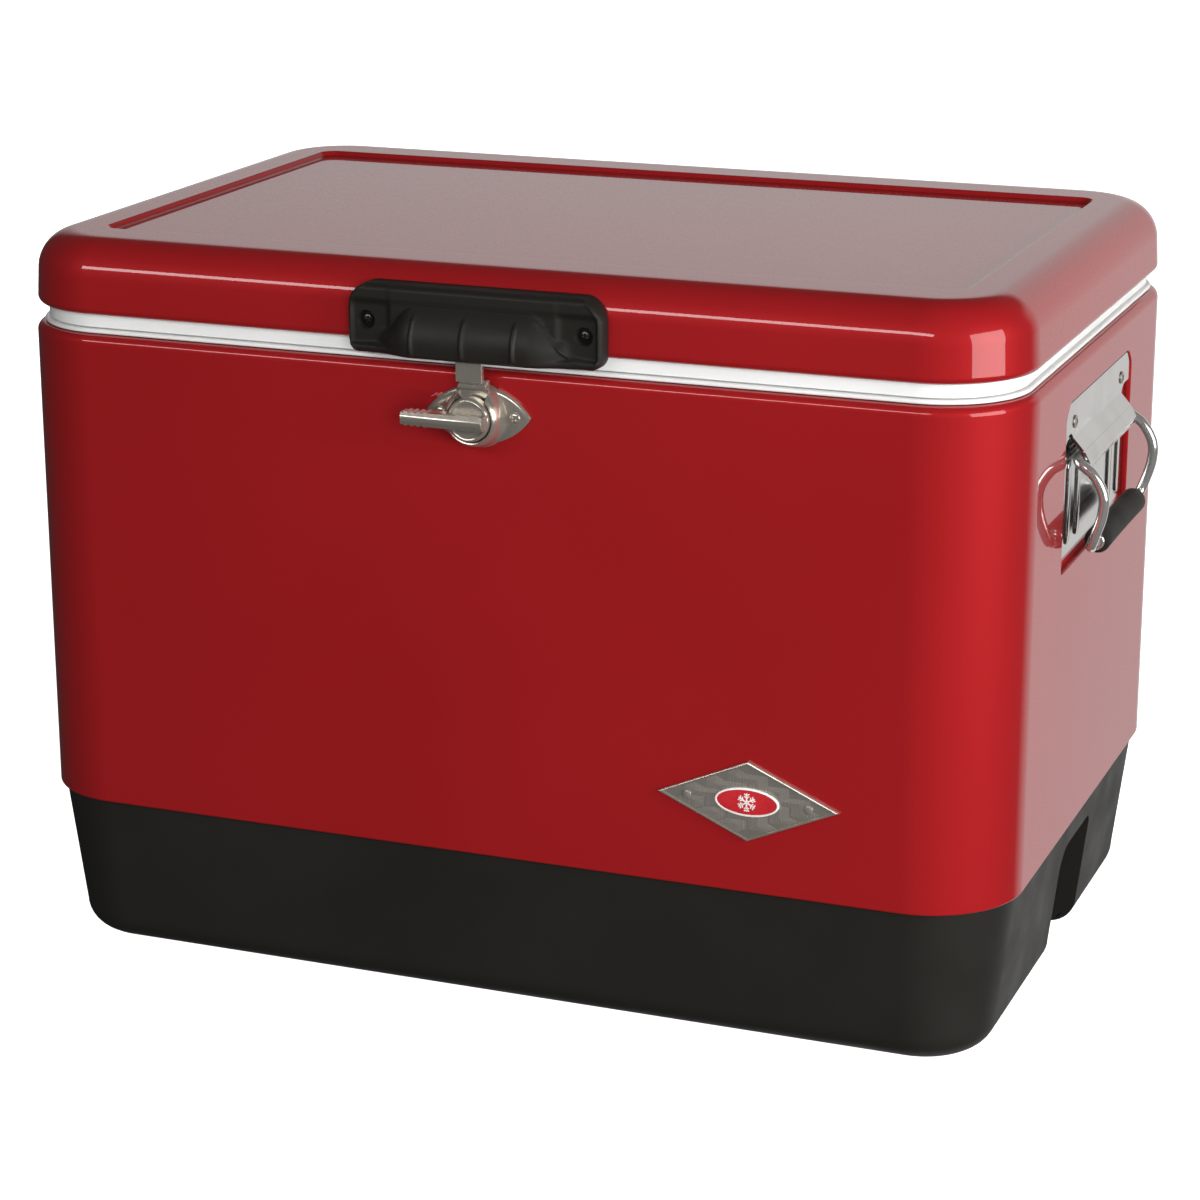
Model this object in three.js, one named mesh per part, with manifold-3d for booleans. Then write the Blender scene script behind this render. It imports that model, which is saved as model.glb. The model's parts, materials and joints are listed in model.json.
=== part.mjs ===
// A steel-belted cooler chest: a black moulded base, a painted steel belt round a foam-filled tub,
// a hinged steel lid with a moulded handle, a turning front latch, a swing-up bail at each end
// and a drain. Millimetres, +Z up, front towards -Y, origin at the middle of the underside.
import * as THREE from "three";
import { mergeVertices } from "three/addons/utils/BufferGeometryUtils.js";
import Module from "manifold-3d";

const wasm = await Module();
wasm.setup();

// Overall sizes.
const WIDTH = 580;
const DEPTH = 384;
const HEIGHT = 418;
const CORNER = 54;
const CORNER_STEPS = 7;
const GAP = 0.3;
const SHEET = 0.8;

// Heights where one part meets the next.
const BASE_TOP = 92;
const BELT_TOP = 366.5;
const SEAM = 369.3;
const LID_BOTTOM = 377.5;

// Moulded base.
const BASE_INSET = 3.4;
const BASE_DRAFT = 0.12;
const BASE_FILLET = 17;
const BASE_WALL = 3;
const BASE_UPSTAND = 106;
const NOTCH_BACK = 48;
const NOTCH_FRONT = -20;
const NOTCH_TOP = 72;
const NOTCH_END_LOW = 256;
const NOTCH_END_HIGH = 266;

// Belt and lid edges.
const BELT_ROLL = 5;
const HEM = 9;
const LID_INSET = 1;
const LID_ROLL = 4;
const LID_FILLET = 23;
const LID_ARC = LID_INSET + LID_FILLET;
const FILLET_Z = HEIGHT - LID_FILLET;
const PANEL_X = 251;
const PANEL_Y = 146;
const PANEL_CORNER = 9;
const PANEL_DROP = 3;
const PANEL_SLOPE = 2.5;

// Tub.
const TUB_WALL = 28;
const TUB_FLOOR = 64;
const TUB_SKIN = 2.5;
const TUB_DRAFT = 3;

// The drain's sump in the tub's floor, and the outlet through the end wall beside it.
const SUMP_FLOOR = 30;
const SUMP_Y = (NOTCH_BACK + NOTCH_FRONT) / 2;
const SUMP = { left: -252, right: -200, back: SUMP_Y + 32, front: SUMP_Y - 32 };
const DRAIN_RADIUS = 11;
const DRAIN_AT = [0, SUMP_Y, SUMP_FLOOR + 17];

// End handles.
const POCKET_Y = 78;
const POCKET_LOW = 252.5;
const POCKET_HIGH = 345.5;
const POCKET_DEPTH = 3.4;
const POCKET_CHAMFER = 8;
const BRACKET = 1.2;
const BRACKET_BACK = WIDTH / 2 - POCKET_DEPTH + 1.4;
const BRACKET_SCREW_Y = 56;
const BRACKET_SCREW_Z = 332.5;
const HOOD_Y = 57.5;
const BAIL_X = 291.6;
const BAIL_Z = 312.3;
const BAIL_ARM_Y = 62;
const BAIL_WIRE = 3;
const BAIL_BEND = 7;
const GRIP_X = 301.5;
const GRIP_Z = 264.5;
const GRIP_RADIUS = 7.2;
const GRIP_Y = 46;

// Latch, handle and badge on the front.
const FRONT = -DEPTH / 2;
const LID_FRONT = FRONT + LID_INSET;
const LATCH_Z = 342.5;
const LATCH_DRUM = 12;
const LATCH_SCREW_X = 21.5;
const LEVER_REACH = 36;
const LEVER_FRONT = 25;
const STRIKE_X = 8;
const HANDLE_X = 73;
const HANDLE_LOW = 372;
const HANDLE_HIGH = 410;
const HANDLE_SCREW_X = 62;
const HANDLE_SCREW_Z = 390;
const EAR_Y = 8;
const BADGE = { x: 152.6, z: 144.5, width: 102, height: 45, rivetX: 34 };

// Hinges at the back.
const BACK = DEPTH / 2;
const HINGE_X = 190;
const HINGE_Y = 195.5;
const HINGE_Z = 372;
const KNUCKLE = 3.2;
const PIN = 1.5;
const LEAF_X = 30;
const LEAF = 1.5;
const LEAF_SCREW_X = 18;
const BODY_LEAF_Y = BACK + GAP;
const LID_LEAF_Y = BACK - LID_INSET + GAP;
const BODY_SCREW_Z = HINGE_Z - 19;
const LID_SCREW_Z = 390;

// Fasteners: head and shank radius, head height and shank length.
const SCREW = { head: 3.6, rise: 1.2, shank: 1.8, length: 9 };
const SMALL_SCREW = { head: 3, rise: 1.6, shank: 1.5, length: 8 };
const RIVET = { head: 2.6, rise: 1.2, shank: 1.3, length: 5 };

const MATERIALS = {
  red: new THREE.MeshStandardMaterial({ color: 0xa81a1c, roughness: 0.2, metalness: 0.2 }),
  black: new THREE.MeshStandardMaterial({ color: 0x1f1e1c, roughness: 0.55, metalness: 0 }),
  white: new THREE.MeshStandardMaterial({ color: 0xe9ece9, roughness: 0.4, metalness: 0 }),
  foam: new THREE.MeshStandardMaterial({ color: 0xd9c58f, roughness: 0.9, metalness: 0 }),
  stainless: new THREE.MeshStandardMaterial({ color: 0xc9c8c4, roughness: 0.2, metalness: 1 }),
  nickel: new THREE.MeshStandardMaterial({ color: 0xb3a996, roughness: 0.3, metalness: 1 }),
  rubber: new THREE.MeshStandardMaterial({ color: 0x262625, roughness: 0.8, metalness: 0 }),
  enamel: new THREE.MeshStandardMaterial({ color: 0xb02024, roughness: 0.3, metalness: 0 }),
};

const X = new THREE.Vector3(1, 0, 0);
const Y = new THREE.Vector3(0, 1, 0);
const Z = new THREE.Vector3(0, 0, 1);
const FRONT_DIRECTION = Y.clone().negate();
const BAIL_LEAN = new THREE.Vector3(0.844, 0, -0.536);
// Turns a flat outline so that its thickness grows out of the right end or out of the front.
const FACE = {
  right: new THREE.Matrix4().makeBasis(Y, Z, X),
  front: new THREE.Matrix4().makeBasis(X, Z, FRONT_DIRECTION),
};

// Where the fasteners stand.
const bothSides = [-1, 1];
const handleScrewPlaces = bothSides.map((side) => [side * HANDLE_SCREW_X, LID_FRONT - 5, HANDLE_SCREW_Z]);
const latchScrewPlaces = bothSides.map((side) => [side * LATCH_SCREW_X, FRONT - 2.8, LATCH_Z]);
const rivetPlaces = bothSides.map((side) => [BADGE.x + side * BADGE.rivetX, FRONT - 1.7, BADGE.z]);
const bracketScrewPlaces = bothSides.map((side) => [
  BRACKET_BACK + BRACKET + 0.1, side * BRACKET_SCREW_Y, BRACKET_SCREW_Z,
]);
const bodyLeafScrewPlaces = leafScrewPlaces(BODY_LEAF_Y, BODY_SCREW_Z);
const lidLeafScrewPlaces = leafScrewPlaces(LID_LEAF_Y, LID_SCREW_Z);

function leafScrewPlaces(y, z) {
  const along = bothSides.flatMap((side) => bothSides.map((end) => side * HINGE_X + end * LEAF_SCREW_X));
  return along.map((x) => [x, y + LEAF + 0.1, z]);
}

// ---------- shape helpers ----------

function solid(geometry) {
  const plain = new THREE.BufferGeometry();
  plain.setAttribute("position", geometry.getAttribute("position"));
  plain.setIndex(geometry.getIndex());
  const merged = mergeVertices(plain, 1e-4);
  const vertProperties = new Float32Array(merged.getAttribute("position").array);
  const triVerts = new Uint32Array(merged.getIndex().array);
  return new wasm.Manifold(new wasm.Mesh({ numProp: 3, vertProperties, triVerts }));
}

function geometryOf(shape) {
  const mesh = shape.getMesh();
  const geometry = new THREE.BufferGeometry();
  geometry.setAttribute("position", new THREE.BufferAttribute(mesh.vertProperties, 3));
  geometry.setIndex(new THREE.BufferAttribute(mesh.triVerts, 1));
  geometry.computeVertexNormals();
  return geometry;
}

function union(...shapes) {
  return shapes.reduce((whole, shape) => whole.add(shape));
}

function cut(shape, tools) {
  return tools.reduce((left, tool) => left.subtract(tool), shape);
}

// A horizontal ring of points round a rounded rectangle, anticlockwise from above.
function ring(halfX, halfY, radius, z) {
  const points = [];
  for (let corner = 0; corner < 4; corner++) {
    const centreX = (corner === 0 || corner === 3 ? 1 : -1) * (halfX - radius);
    const centreY = (corner < 2 ? 1 : -1) * (halfY - radius);
    for (let step = 0; step <= CORNER_STEPS; step++) {
      const angle = ((corner + step / CORNER_STEPS) * Math.PI) / 2;
      const x = centreX + radius * Math.cos(angle);
      const y = centreY + radius * Math.sin(angle);
      points.push(new THREE.Vector3(x, y, z));
    }
  }
  return points;
}

// The chest's own outline, drawn in by an inset.
function chestRing([inset, z]) {
  return ring(WIDTH / 2 - inset, DEPTH / 2 - inset, CORNER - inset, z);
}

// A skin through rings of points, closed by a lid at each end or by looping back to the first.
function loft(rings, loop = false) {
  const count = rings[0].length;
  const positions = rings.flat().flatMap((p) => [p.x, p.y, p.z]);
  const index = [];
  const bands = loop ? rings.length : rings.length - 1;
  for (let band = 0; band < bands; band++) {
    const low = band * count;
    const high = ((band + 1) % rings.length) * count;
    for (let i = 0; i < count; i++) {
      const j = (i + 1) % count;
      index.push(low + i, low + j, high + j, low + i, high + j, high + i);
    }
  }
  const last = (rings.length - 1) * count;
  for (let i = 1; !loop && i < count - 1; i++) {
    index.push(0, i + 1, i, last, last + i, last + i + 1);
  }
  const geometry = new THREE.BufferGeometry();
  geometry.setAttribute("position", new THREE.Float32BufferAttribute(positions, 3));
  geometry.setIndex(index);
  return solid(geometry);
}

function arc(centreX, centreY, radius, from, to, steps) {
  const points = [];
  for (let i = 0; i <= steps; i++) {
    const angle = from + ((to - from) * i) / steps;
    points.push([centreX + radius * Math.cos(angle), centreY + radius * Math.sin(angle)]);
  }
  return points;
}

// A polygon whose corners [x, y, radius] are rounded where they have a radius.
function rounded(corners, steps = 3) {
  const at = corners.map(([x, y]) => new THREE.Vector2(x, y));
  return corners.flatMap(([, , radius = 0], i) => {
    if (!radius) return [at[i]];
    const before = at.at(i - 1).clone().sub(at[i]).setLength(radius).add(at[i]);
    const after = at[(i + 1) % at.length].clone().sub(at[i]).setLength(radius).add(at[i]);
    return new THREE.QuadraticBezierCurve(before, at[i], after).getPoints(steps);
  });
}

// An outline made into a plate of that thickness, facing right, front or sideways from a distance.
function plate(points, face, from, thickness) {
  const shape = new THREE.Shape(points.map((p) => (p.isVector2 ? p : new THREE.Vector2(...p))));
  const geometry = new THREE.ExtrudeGeometry(shape, { depth: thickness, bevelEnabled: false });
  geometry.translate(0, 0, from);
  return solid(geometry.applyMatrix4(FACE[face]));
}

function box(low, high) {
  const size = high.map((value, i) => value - low[i]);
  const middle = high.map((value, i) => (value + low[i]) / 2);
  return solid(new THREE.BoxGeometry(...size).translate(...middle));
}

// A turned piece: [radius, distance] pairs along a direction from a point.
function turned(profile, at, direction, sides = 16) {
  const points = profile.map(([radius, along]) => new THREE.Vector2(radius, along));
  const geometry = new THREE.LatheGeometry(points, sides);
  geometry.applyQuaternion(new THREE.Quaternion().setFromUnitVectors(Y, direction));
  return solid(geometry.translate(...at));
}

function rod(radius, at, direction, from, to, sides = 16) {
  return turned([[0, from], [radius, from], [radius, to], [0, to]], at, direction, sides);
}

function add(parent, name, shape, material) {
  const mesh = new THREE.Mesh(geometryOf(shape), MATERIALS[material]);
  mesh.name = name;
  parent.add(mesh);
  return mesh;
}

// A domed screw or rivet, standing on a surface with its shank going in against the direction.
function fastener(parent, name, at, direction, size, material = "stainless") {
  const { head, rise, shank, length } = size;
  const profile = [
    [0, -length], [shank, -length], [shank, 0], [head, 0], [head * 0.8, rise * 0.7], [0, rise],
  ];
  const mesh = add(parent, name, turned(profile, [0, 0, 0], Y, 10), material);
  mesh.position.set(...at);
  mesh.quaternion.setFromUnitVectors(Y, direction);
}

function drill(at, direction, size, depth = 20) {
  return rod(size.shank + GAP, at, direction, -depth, depth, 10);
}

// ---------- base ----------

function baseInset(z) {
  const straight = BASE_INSET + BASE_DRAFT * (BASE_TOP - Math.min(Math.max(z, BASE_FILLET), BASE_TOP));
  const sunk = Math.max(BASE_FILLET - z, 0);
  return straight + BASE_FILLET - Math.sqrt(BASE_FILLET ** 2 - sunk ** 2);
}

// The finger notch in an end wall, open below, drawn larger by a wall thickness when asked.
function notch(grow, side) {
  const low = -20;
  const mouth = rounded([
    [NOTCH_FRONT - grow, low], [NOTCH_BACK + grow, low],
    [NOTCH_BACK + grow, NOTCH_TOP + grow, 8], [NOTCH_FRONT - grow, NOTCH_TOP + grow, 16],
  ]);
  const slope = (NOTCH_END_HIGH - NOTCH_END_LOW) / NOTCH_TOP;
  const reach = [
    [NOTCH_END_LOW + slope * low - grow, low], [WIDTH, low],
    [WIDTH, NOTCH_TOP + 20], [NOTCH_END_LOW + slope * (NOTCH_TOP + 20) - grow, NOTCH_TOP + 20],
  ];
  const hollow = plate(mouth, "right", 200, 120).intersect(plate(reach, "front", -100, 200));
  return side > 0 ? hollow : hollow.mirror([1, 0, 0]);
}

function baseTub() {
  const sweep = [0, 0.25, 0.5, 0.75, 1].map((t) => BASE_FILLET * (1 - Math.cos((t * Math.PI) / 2)));
  const outside = [...sweep, BASE_TOP, BASE_UPSTAND].map((z) => [baseInset(z), z]);
  const inside = [BASE_UPSTAND, BASE_TOP, BASE_FILLET].map((z) => [baseInset(z) + BASE_WALL, z]);
  inside.push([baseInset(BASE_FILLET) + BASE_WALL + 5, BASE_WALL + 3]);
  inside.push([baseInset(0) + BASE_WALL, BASE_WALL]);
  const shell = loft([...outside, ...inside].map(chestRing));
  const filled = loft(outside.map(chestRing));
  const notchWalls = [-1, 1].map((side) => notch(BASE_WALL, side).intersect(filled));
  const groove = loft([
    ring(206, 126, 30, -1), ring(206, 126, 30, 2), ring(200, 120, 24, 2), ring(200, 120, 24, -1),
  ], true);
  const tools = [notch(0, -1), notch(0, 1), groove, drainHole()];
  return cut(union(shell, ...notchWalls), tools);
}

// ---------- belt ----------

const beltProfile = [
  [0, BASE_TOP],
  ...arc(BELT_ROLL, BELT_TOP - BELT_ROLL, BELT_ROLL, Math.PI, Math.PI / 2, 3),
  [HEM, BELT_TOP],
  [HEM, BELT_TOP - SHEET],
  ...arc(BELT_ROLL, BELT_TOP - BELT_ROLL, BELT_ROLL - SHEET, Math.PI / 2, Math.PI, 3),
  [SHEET, BASE_TOP + SHEET],
  [2.9, BASE_TOP + SHEET],
  [2.9, BASE_TOP],
];

function pocketOutline(grow, low = POCKET_LOW, high = POCKET_HIGH) {
  const y = POCKET_Y + grow;
  const top = high + grow;
  return [
    [-y, low - grow], [y, low - grow], [y, top - POCKET_CHAMFER],
    [y - POCKET_CHAMFER, top], [-y + POCKET_CHAMFER, top], [-y, top - POCKET_CHAMFER],
  ];
}

function bothEnds(shape) {
  return [shape, shape.rotate([0, 0, 180])];
}

function beltHoles() {
  const holes = [latchBore(4 + GAP)];
  holes.push(...latchScrewPlaces.map((at) => drill(at, FRONT_DIRECTION, SMALL_SCREW)));
  holes.push(...rivetPlaces.map((at) => drill(at, FRONT_DIRECTION, RIVET)));
  for (const at of bracketScrewPlaces) holes.push(...bothEnds(drill(at, X, SCREW)));
  for (const at of bodyLeafScrewPlaces) holes.push(drill(at, Y, SMALL_SCREW));
  return holes;
}

function steelBelt() {
  const wall = loft(beltProfile.map(chestRing), true);
  const floor = WIDTH / 2 - POCKET_DEPTH;
  const trays = bothEnds(plate(pocketOutline(SHEET), "right", floor - SHEET, POCKET_DEPTH + SHEET - 0.1));
  const hollows = bothEnds(plate(pocketOutline(0), "right", floor, 20));
  return cut(union(wall, ...trays), [...hollows, ...beltHoles()]);
}

// ---------- tub and foam ----------

const tubInside = [
  [TUB_WALL, SEAM],
  [TUB_WALL + TUB_DRAFT, TUB_FLOOR + 10],
  [TUB_WALL + TUB_DRAFT + 3, TUB_FLOOR + 3],
  [TUB_WALL + TUB_DRAFT + 10, TUB_FLOOR],
];
const tubOutside = [
  [TUB_WALL + TUB_DRAFT + 8, TUB_FLOOR - TUB_SKIN],
  [TUB_WALL + TUB_DRAFT + 0.5, TUB_FLOOR],
  [TUB_WALL + TUB_DRAFT - TUB_SKIN, TUB_FLOOR + 10],
  [TUB_WALL - TUB_SKIN, BELT_TOP + GAP],
];

function sumpBlock(grow, top) {
  const low = [SUMP.left + TUB_SKIN - grow, SUMP.front + TUB_SKIN - grow, SUMP_FLOOR - grow];
  const high = [SUMP.right - TUB_SKIN + grow, SUMP.back - TUB_SKIN + grow, top];
  return box(low, high);
}

function drainHole() {
  return rod(DRAIN_RADIUS + GAP, DRAIN_AT, X, -300, SUMP.left + 10, 20);
}

function tubLiner() {
  const rim = [[5.6, BELT_TOP + GAP], [4.6, BELT_TOP + 1.2], [4.6, SEAM - 1], [5.6, SEAM]];
  const skin = loft([...tubOutside, ...rim, ...tubInside].map(chestRing));
  const whole = skin.add(sumpBlock(TUB_SKIN, TUB_FLOOR - 1));
  return cut(whole, [sumpBlock(0, TUB_FLOOR + 5), drainHole()]);
}

function bodyFoam() {
  const skin = BASE_WALL + GAP;
  const outside = [
    [baseInset(0) + skin, skin],
    [baseInset(BASE_FILLET) + skin + 5, BASE_WALL + 3 + GAP],
    [baseInset(BASE_FILLET) + skin, BASE_FILLET],
    [BASE_INSET + skin, BASE_TOP],
    [BASE_INSET + skin, BASE_UPSTAND + GAP],
    [SHEET + GAP, BASE_UPSTAND + GAP],
    [SHEET + GAP, BELT_TOP - BELT_ROLL],
    [BELT_ROLL, BELT_TOP - SHEET - 2],
  ];
  const inside = tubOutside.map(([inset, z]) => [inset - GAP, z - GAP]).reverse();
  inside[0] = [TUB_WALL - TUB_SKIN - GAP, BELT_TOP - SHEET - 2];
  const whole = loft([...outside, ...inside].map(chestRing));
  const floor = WIDTH / 2 - POCKET_DEPTH - SHEET - GAP;
  const tools = [
    notch(BASE_WALL + GAP, -1), notch(BASE_WALL + GAP, 1), drainHole(),
    sumpBlock(TUB_SKIN + GAP, TUB_FLOOR + 5),
    box([-32, FRONT - 5, LATCH_Z - 17], [32, FRONT + 12, LATCH_Z + 17]),
    box([BADGE.x - 40, FRONT - 5, BADGE.z - 5], [BADGE.x + 40, FRONT + 6, BADGE.z + 5]),
    ...bothEnds(plate(pocketOutline(SHEET + GAP), "right", floor, 20)),
    ...bothEnds(box([floor - 12, -70, POCKET_HIGH - 20], [WIDTH, 70, POCKET_HIGH - 2])),
  ];
  for (const side of [-1, 1]) {
    const x = side * HINGE_X;
    tools.push(box([x - LEAF_X, BACK - 10, HINGE_Z - 34], [x + LEAF_X, BACK + 5, HINGE_Z - 5]));
  }
  return cut(whole, tools);
}

// ---------- drain ----------

function addDrain(chest) {
  const wall = SUMP.left + TUB_SKIN;
  const at = [wall + GAP, SUMP_Y, DRAIN_AT[2]];
  const inner = DRAIN_RADIUS + GAP;
  const gasket = [[inner, 0], [16, 0], [16, 2], [inner, 2], [inner, 0]];
  add(chest, "drain_gasket", turned(gasket, at, X), "rubber");
  const flange = 2 + GAP;
  const spout = [
    [8, flange + 2.4], [8, -25], [10, -25], [DRAIN_RADIUS, -24], [DRAIN_RADIUS, flange],
    [16, flange], [16, flange + 2.4], [8, flange + 2.4],
  ];
  add(chest, "drain_spout", turned(spout, at, X), "white");
  const nut = [[inner, -20], [17, -20], [17, -16.6], [inner, -16.6], [inner, -20]];
  add(chest, "drain_nut", turned(nut, at, X), "black");
  const cap = [
    [0, -30], [14, -30], [14.5, -29], [14.5, -21], [inner, -21], [inner, -27.5], [0, -27.5],
  ];
  add(chest, "drain_cap", turned(cap, at, X), "black");
}

// ---------- lid ----------

function panelRing([inset, z]) {
  return ring(PANEL_X - inset, PANEL_Y - inset, PANEL_CORNER - inset, z);
}

function lidEdge(radius) {
  return arc(LID_ARC, FILLET_Z, radius, Math.PI, Math.PI / 2, 5);
}

function lidRoll(radius) {
  return arc(LID_INSET + LID_ROLL, LID_BOTTOM + LID_ROLL, radius, Math.PI * 1.5, Math.PI, 2);
}

function lidShell() {
  const inner = LID_FILLET - SHEET;
  const rings = [
    panelRing([PANEL_SLOPE, HEIGHT - PANEL_DROP - SHEET]),
    panelRing([-SHEET, HEIGHT - SHEET]),
    ...lidEdge(inner).reverse().map(chestRing),
    ...lidRoll(LID_ROLL - SHEET).reverse().map(chestRing),
    chestRing([HEM, LID_BOTTOM + SHEET]),
    chestRing([HEM, LID_BOTTOM]),
    ...lidRoll(LID_ROLL).map(chestRing),
    ...lidEdge(LID_FILLET).map(chestRing),
    panelRing([0, HEIGHT]),
    panelRing([PANEL_SLOPE, HEIGHT - PANEL_DROP]),
  ];
  const holes = handleScrewPlaces.map((at) => drill(at, FRONT_DIRECTION, SMALL_SCREW));
  holes.push(...lidLeafScrewPlaces.map((at) => drill(at, Y, SMALL_SCREW)));
  return cut(loft(rings), holes);
}

function lidLiner() {
  const plug = TUB_WALL + 2.5;
  const low = SEAM - 7;
  const rings = [
    [plug + 8, low], [plug + 1.5, low + 0.6], [plug, low + 2], [plug - 0.5, SEAM + GAP],
    [8, SEAM + GAP], [7, SEAM + 1], [7, LID_BOTTOM - GAP],
    [9.5, LID_BOTTOM - GAP], [9.5, SEAM + 2.8], [plug + 2, SEAM + 2.8], [plug + 3, low + 2.5],
  ];
  return loft(rings.map(chestRing));
}

function lidFoam() {
  const inner = LID_FILLET - SHEET - GAP;
  const plug = TUB_WALL + 5.8;
  const rings = [
    chestRing([plug, SEAM - 4.2]),
    chestRing([plug, SEAM + 3.2]),
    chestRing([HEM + 1.2, SEAM + 3.2]),
    chestRing([HEM + 1.2, LID_BOTTOM + SHEET + 1]),
    chestRing([LID_INSET + SHEET + 1, LID_BOTTOM + LID_ROLL]),
    ...lidEdge(inner).map(chestRing),
    panelRing([-SHEET - GAP, HEIGHT - SHEET - GAP]),
    panelRing([PANEL_SLOPE, HEIGHT - PANEL_DROP - SHEET - 2 * GAP]),
  ];
  const tools = [box([-70, LID_FRONT - 5, 384], [70, LID_FRONT + 11, 396])];
  for (const side of [-1, 1]) {
    const x = side * HINGE_X;
    tools.push(box([x - LEAF_X, BACK - 12, 384], [x + LEAF_X, BACK + 5, 396]));
  }
  return cut(loft(rings), tools);
}

// ---------- lid handle ----------

// The lid's outer surface grown by a clearance, so that the handle follows its rounded edge.
function lidBody(grow) {
  const rings = [
    chestRing([LID_INSET - grow, LID_BOTTOM - 20]),
    ...lidEdge(LID_FILLET + grow).map(chestRing),
  ];
  return loft(rings);
}

function lidHandle() {
  const outline = rounded([
    [-HANDLE_X, HANDLE_LOW, 10], [HANDLE_X, HANDLE_LOW, 10],
    [HANDLE_X, HANDLE_HIGH, 18], [-HANDLE_X, HANDLE_HIGH, 18],
  ]);
  const flange = plate(outline, "front", -LID_FRONT - 10, 10 + EAR_Y);
  const swell = rounded([
    [LID_FRONT + 4, HANDLE_LOW], [LID_FRONT - 14, HANDLE_LOW, 4], [LID_FRONT - 22, HANDLE_LOW + 16, 8],
    [LID_FRONT - 14, HANDLE_LOW + 29, 5], [LID_FRONT - 6, HANDLE_LOW + 31],
    [LID_FRONT + 4, HANDLE_LOW + 31],
  ]);
  const grip = plate(swell, "right", -46, 92);
  const shelf = plate(rounded([
    [-HANDLE_X, HANDLE_LOW, 4], [HANDLE_X, HANDLE_LOW, 4], [HANDLE_X, HANDLE_LOW + 7, 2],
    [-HANDLE_X, HANDLE_LOW + 7, 2],
  ]), "front", -LID_FRONT, 15);
  const whole = union(flange, grip, shelf);
  const hollows = [lidBody(GAP)];
  for (const [x, , z] of handleScrewPlaces) {
    const at = [x, LID_FRONT, z];
    hollows.push(rod(6.5, at, FRONT_DIRECTION, 5, 40, 14), drill(at, FRONT_DIRECTION, SMALL_SCREW));
  }
  const low = HANDLE_LOW - 5;
  const high = HANDLE_LOW + 12;
  const [deep, shallow] = [LID_FRONT - 12, LID_FRONT - 3];
  hollows.push(box([-44, deep, low], [-STRIKE_X - 4, shallow, high]));
  hollows.push(box([STRIKE_X + 4, deep, low], [44, shallow, high]));
  hollows.push(box([-STRIKE_X - GAP, -205.5, low], [STRIKE_X + GAP, -200.2, high]));
  return cut(whole, hollows);
}

// ---------- latch ----------

function latchBore(radius) {
  return rod(radius, [0, 0, LATCH_Z], FRONT_DIRECTION, -FRONT - 12, -FRONT + 3.2, 16);
}

// The strike hangs from the handle and steps back towards the chest above the latch.
function strike() {
  const profile = [
    [-205.2, 383], [-205.2, 360.5], [-200.6, 360.5], [-200.6, 353],
    [-199, 353], [-199, 362.1], [-203.6, 362.1], [-203.6, 383],
  ];
  return plate(profile, "right", -STRIKE_X, 2 * STRIKE_X);
}

function lens(halfWidth, halfHeight) {
  const radius = (halfWidth ** 2 + halfHeight ** 2) / (2 * halfHeight);
  const drop = radius - halfHeight;
  const edge = Math.atan2(drop, halfWidth);
  const upper = arc(0, LATCH_Z - drop, radius, edge, Math.PI - edge, 12);
  const lower = arc(0, LATCH_Z + drop, radius, Math.PI + edge, 2 * Math.PI - edge, 12);
  return [...upper, ...lower.slice(1, -1)];
}

function escutcheon() {
  const foot = plate(lens(30, 16), "front", -FRONT + GAP, 2.5);
  const at = [0, FRONT, LATCH_Z];
  const profile = [[0, 1], [17, 1], [17, 7], [15.8, 12], [13.8, 14.4], [0, 14.4]];
  const dome = turned(profile, at, FRONT_DIRECTION, 28);
  const hollows = [
    rod(LATCH_DRUM + 0.5, at, FRONT_DIRECTION, 5.5, 30, 28),
    rod(4.3, at, FRONT_DIRECTION, -5, 10, 16),
    box([-STRIKE_X - 1, FRONT - 30, LATCH_Z + 9], [STRIKE_X + 1, FRONT - 5.5, LATCH_Z + 30]),
    box([-30, FRONT - GAP, LATCH_Z - 20], [30, FRONT + 10, LATCH_Z + 20]),
  ];
  hollows.push(...latchScrewPlaces.map((place) => drill(place, FRONT_DIRECTION, SMALL_SCREW)));
  return cut(union(foot, dome), hollows);
}

// The turning piece: shaft, drum and a lever bar that points left when the latch is closed.
function lever() {
  const at = [0, FRONT, LATCH_Z];
  const profile = [
    [0, -10], [4, -10], [4, 10], [LATCH_DRUM, 10], [LATCH_DRUM, 16.5], [LATCH_DRUM - 1.4, 17.6], [0, 17.6],
  ];
  const body = turned(profile, at, FRONT_DIRECTION, 24);
  const root = LATCH_DRUM - 1;
  const outline = rounded([
    [-LEVER_REACH, LATCH_Z - 3.4, 1.5], [root, LATCH_Z - 3.8, 1.5],
    [root, LATCH_Z + 3.8, 1.5], [-LEVER_REACH, LATCH_Z + 3.4, 1.5],
  ]);
  return union(body, plate(outline, "front", -FRONT + 16, LEVER_FRONT - 16));
}

function addLatch(chest) {
  add(chest, "latch_escutcheon", escutcheon(), "nickel");
  latchScrewPlaces.forEach((at, i) => {
    fastener(chest, `latch_screw_${i + 1}`, at, FRONT_DIRECTION, SMALL_SCREW, "nickel");
  });
  add(chest, "latch_lever", lever(), "nickel");
  const clip = [[4 + GAP, 0], [8, 0], [8, 1.2], [4 + GAP, 1.2], [4 + GAP, 0]];
  const at = [0, FRONT + 3.5, LATCH_Z];
  add(chest, "latch_clip", turned(clip, at, FRONT_DIRECTION, 16), "stainless");
}

// ---------- badge ----------

function badgePlate() {
  const { x, z, width, height } = BADGE;
  const diamond = (shrink) => [
    [x - (width / 2) * shrink, z], [x, z - (height / 2) * shrink],
    [x + (width / 2) * shrink, z], [x, z + (height / 2) * shrink],
  ];
  const full = plate(diamond(1), "front", -FRONT + GAP, 2);
  const dished = plate(diamond(0.93), "front", -FRONT + GAP + 1.2, 5);
  return cut(full, [dished, ...rivetPlaces.map((at) => drill(at, FRONT_DIRECTION, RIVET))]);
}

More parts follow.
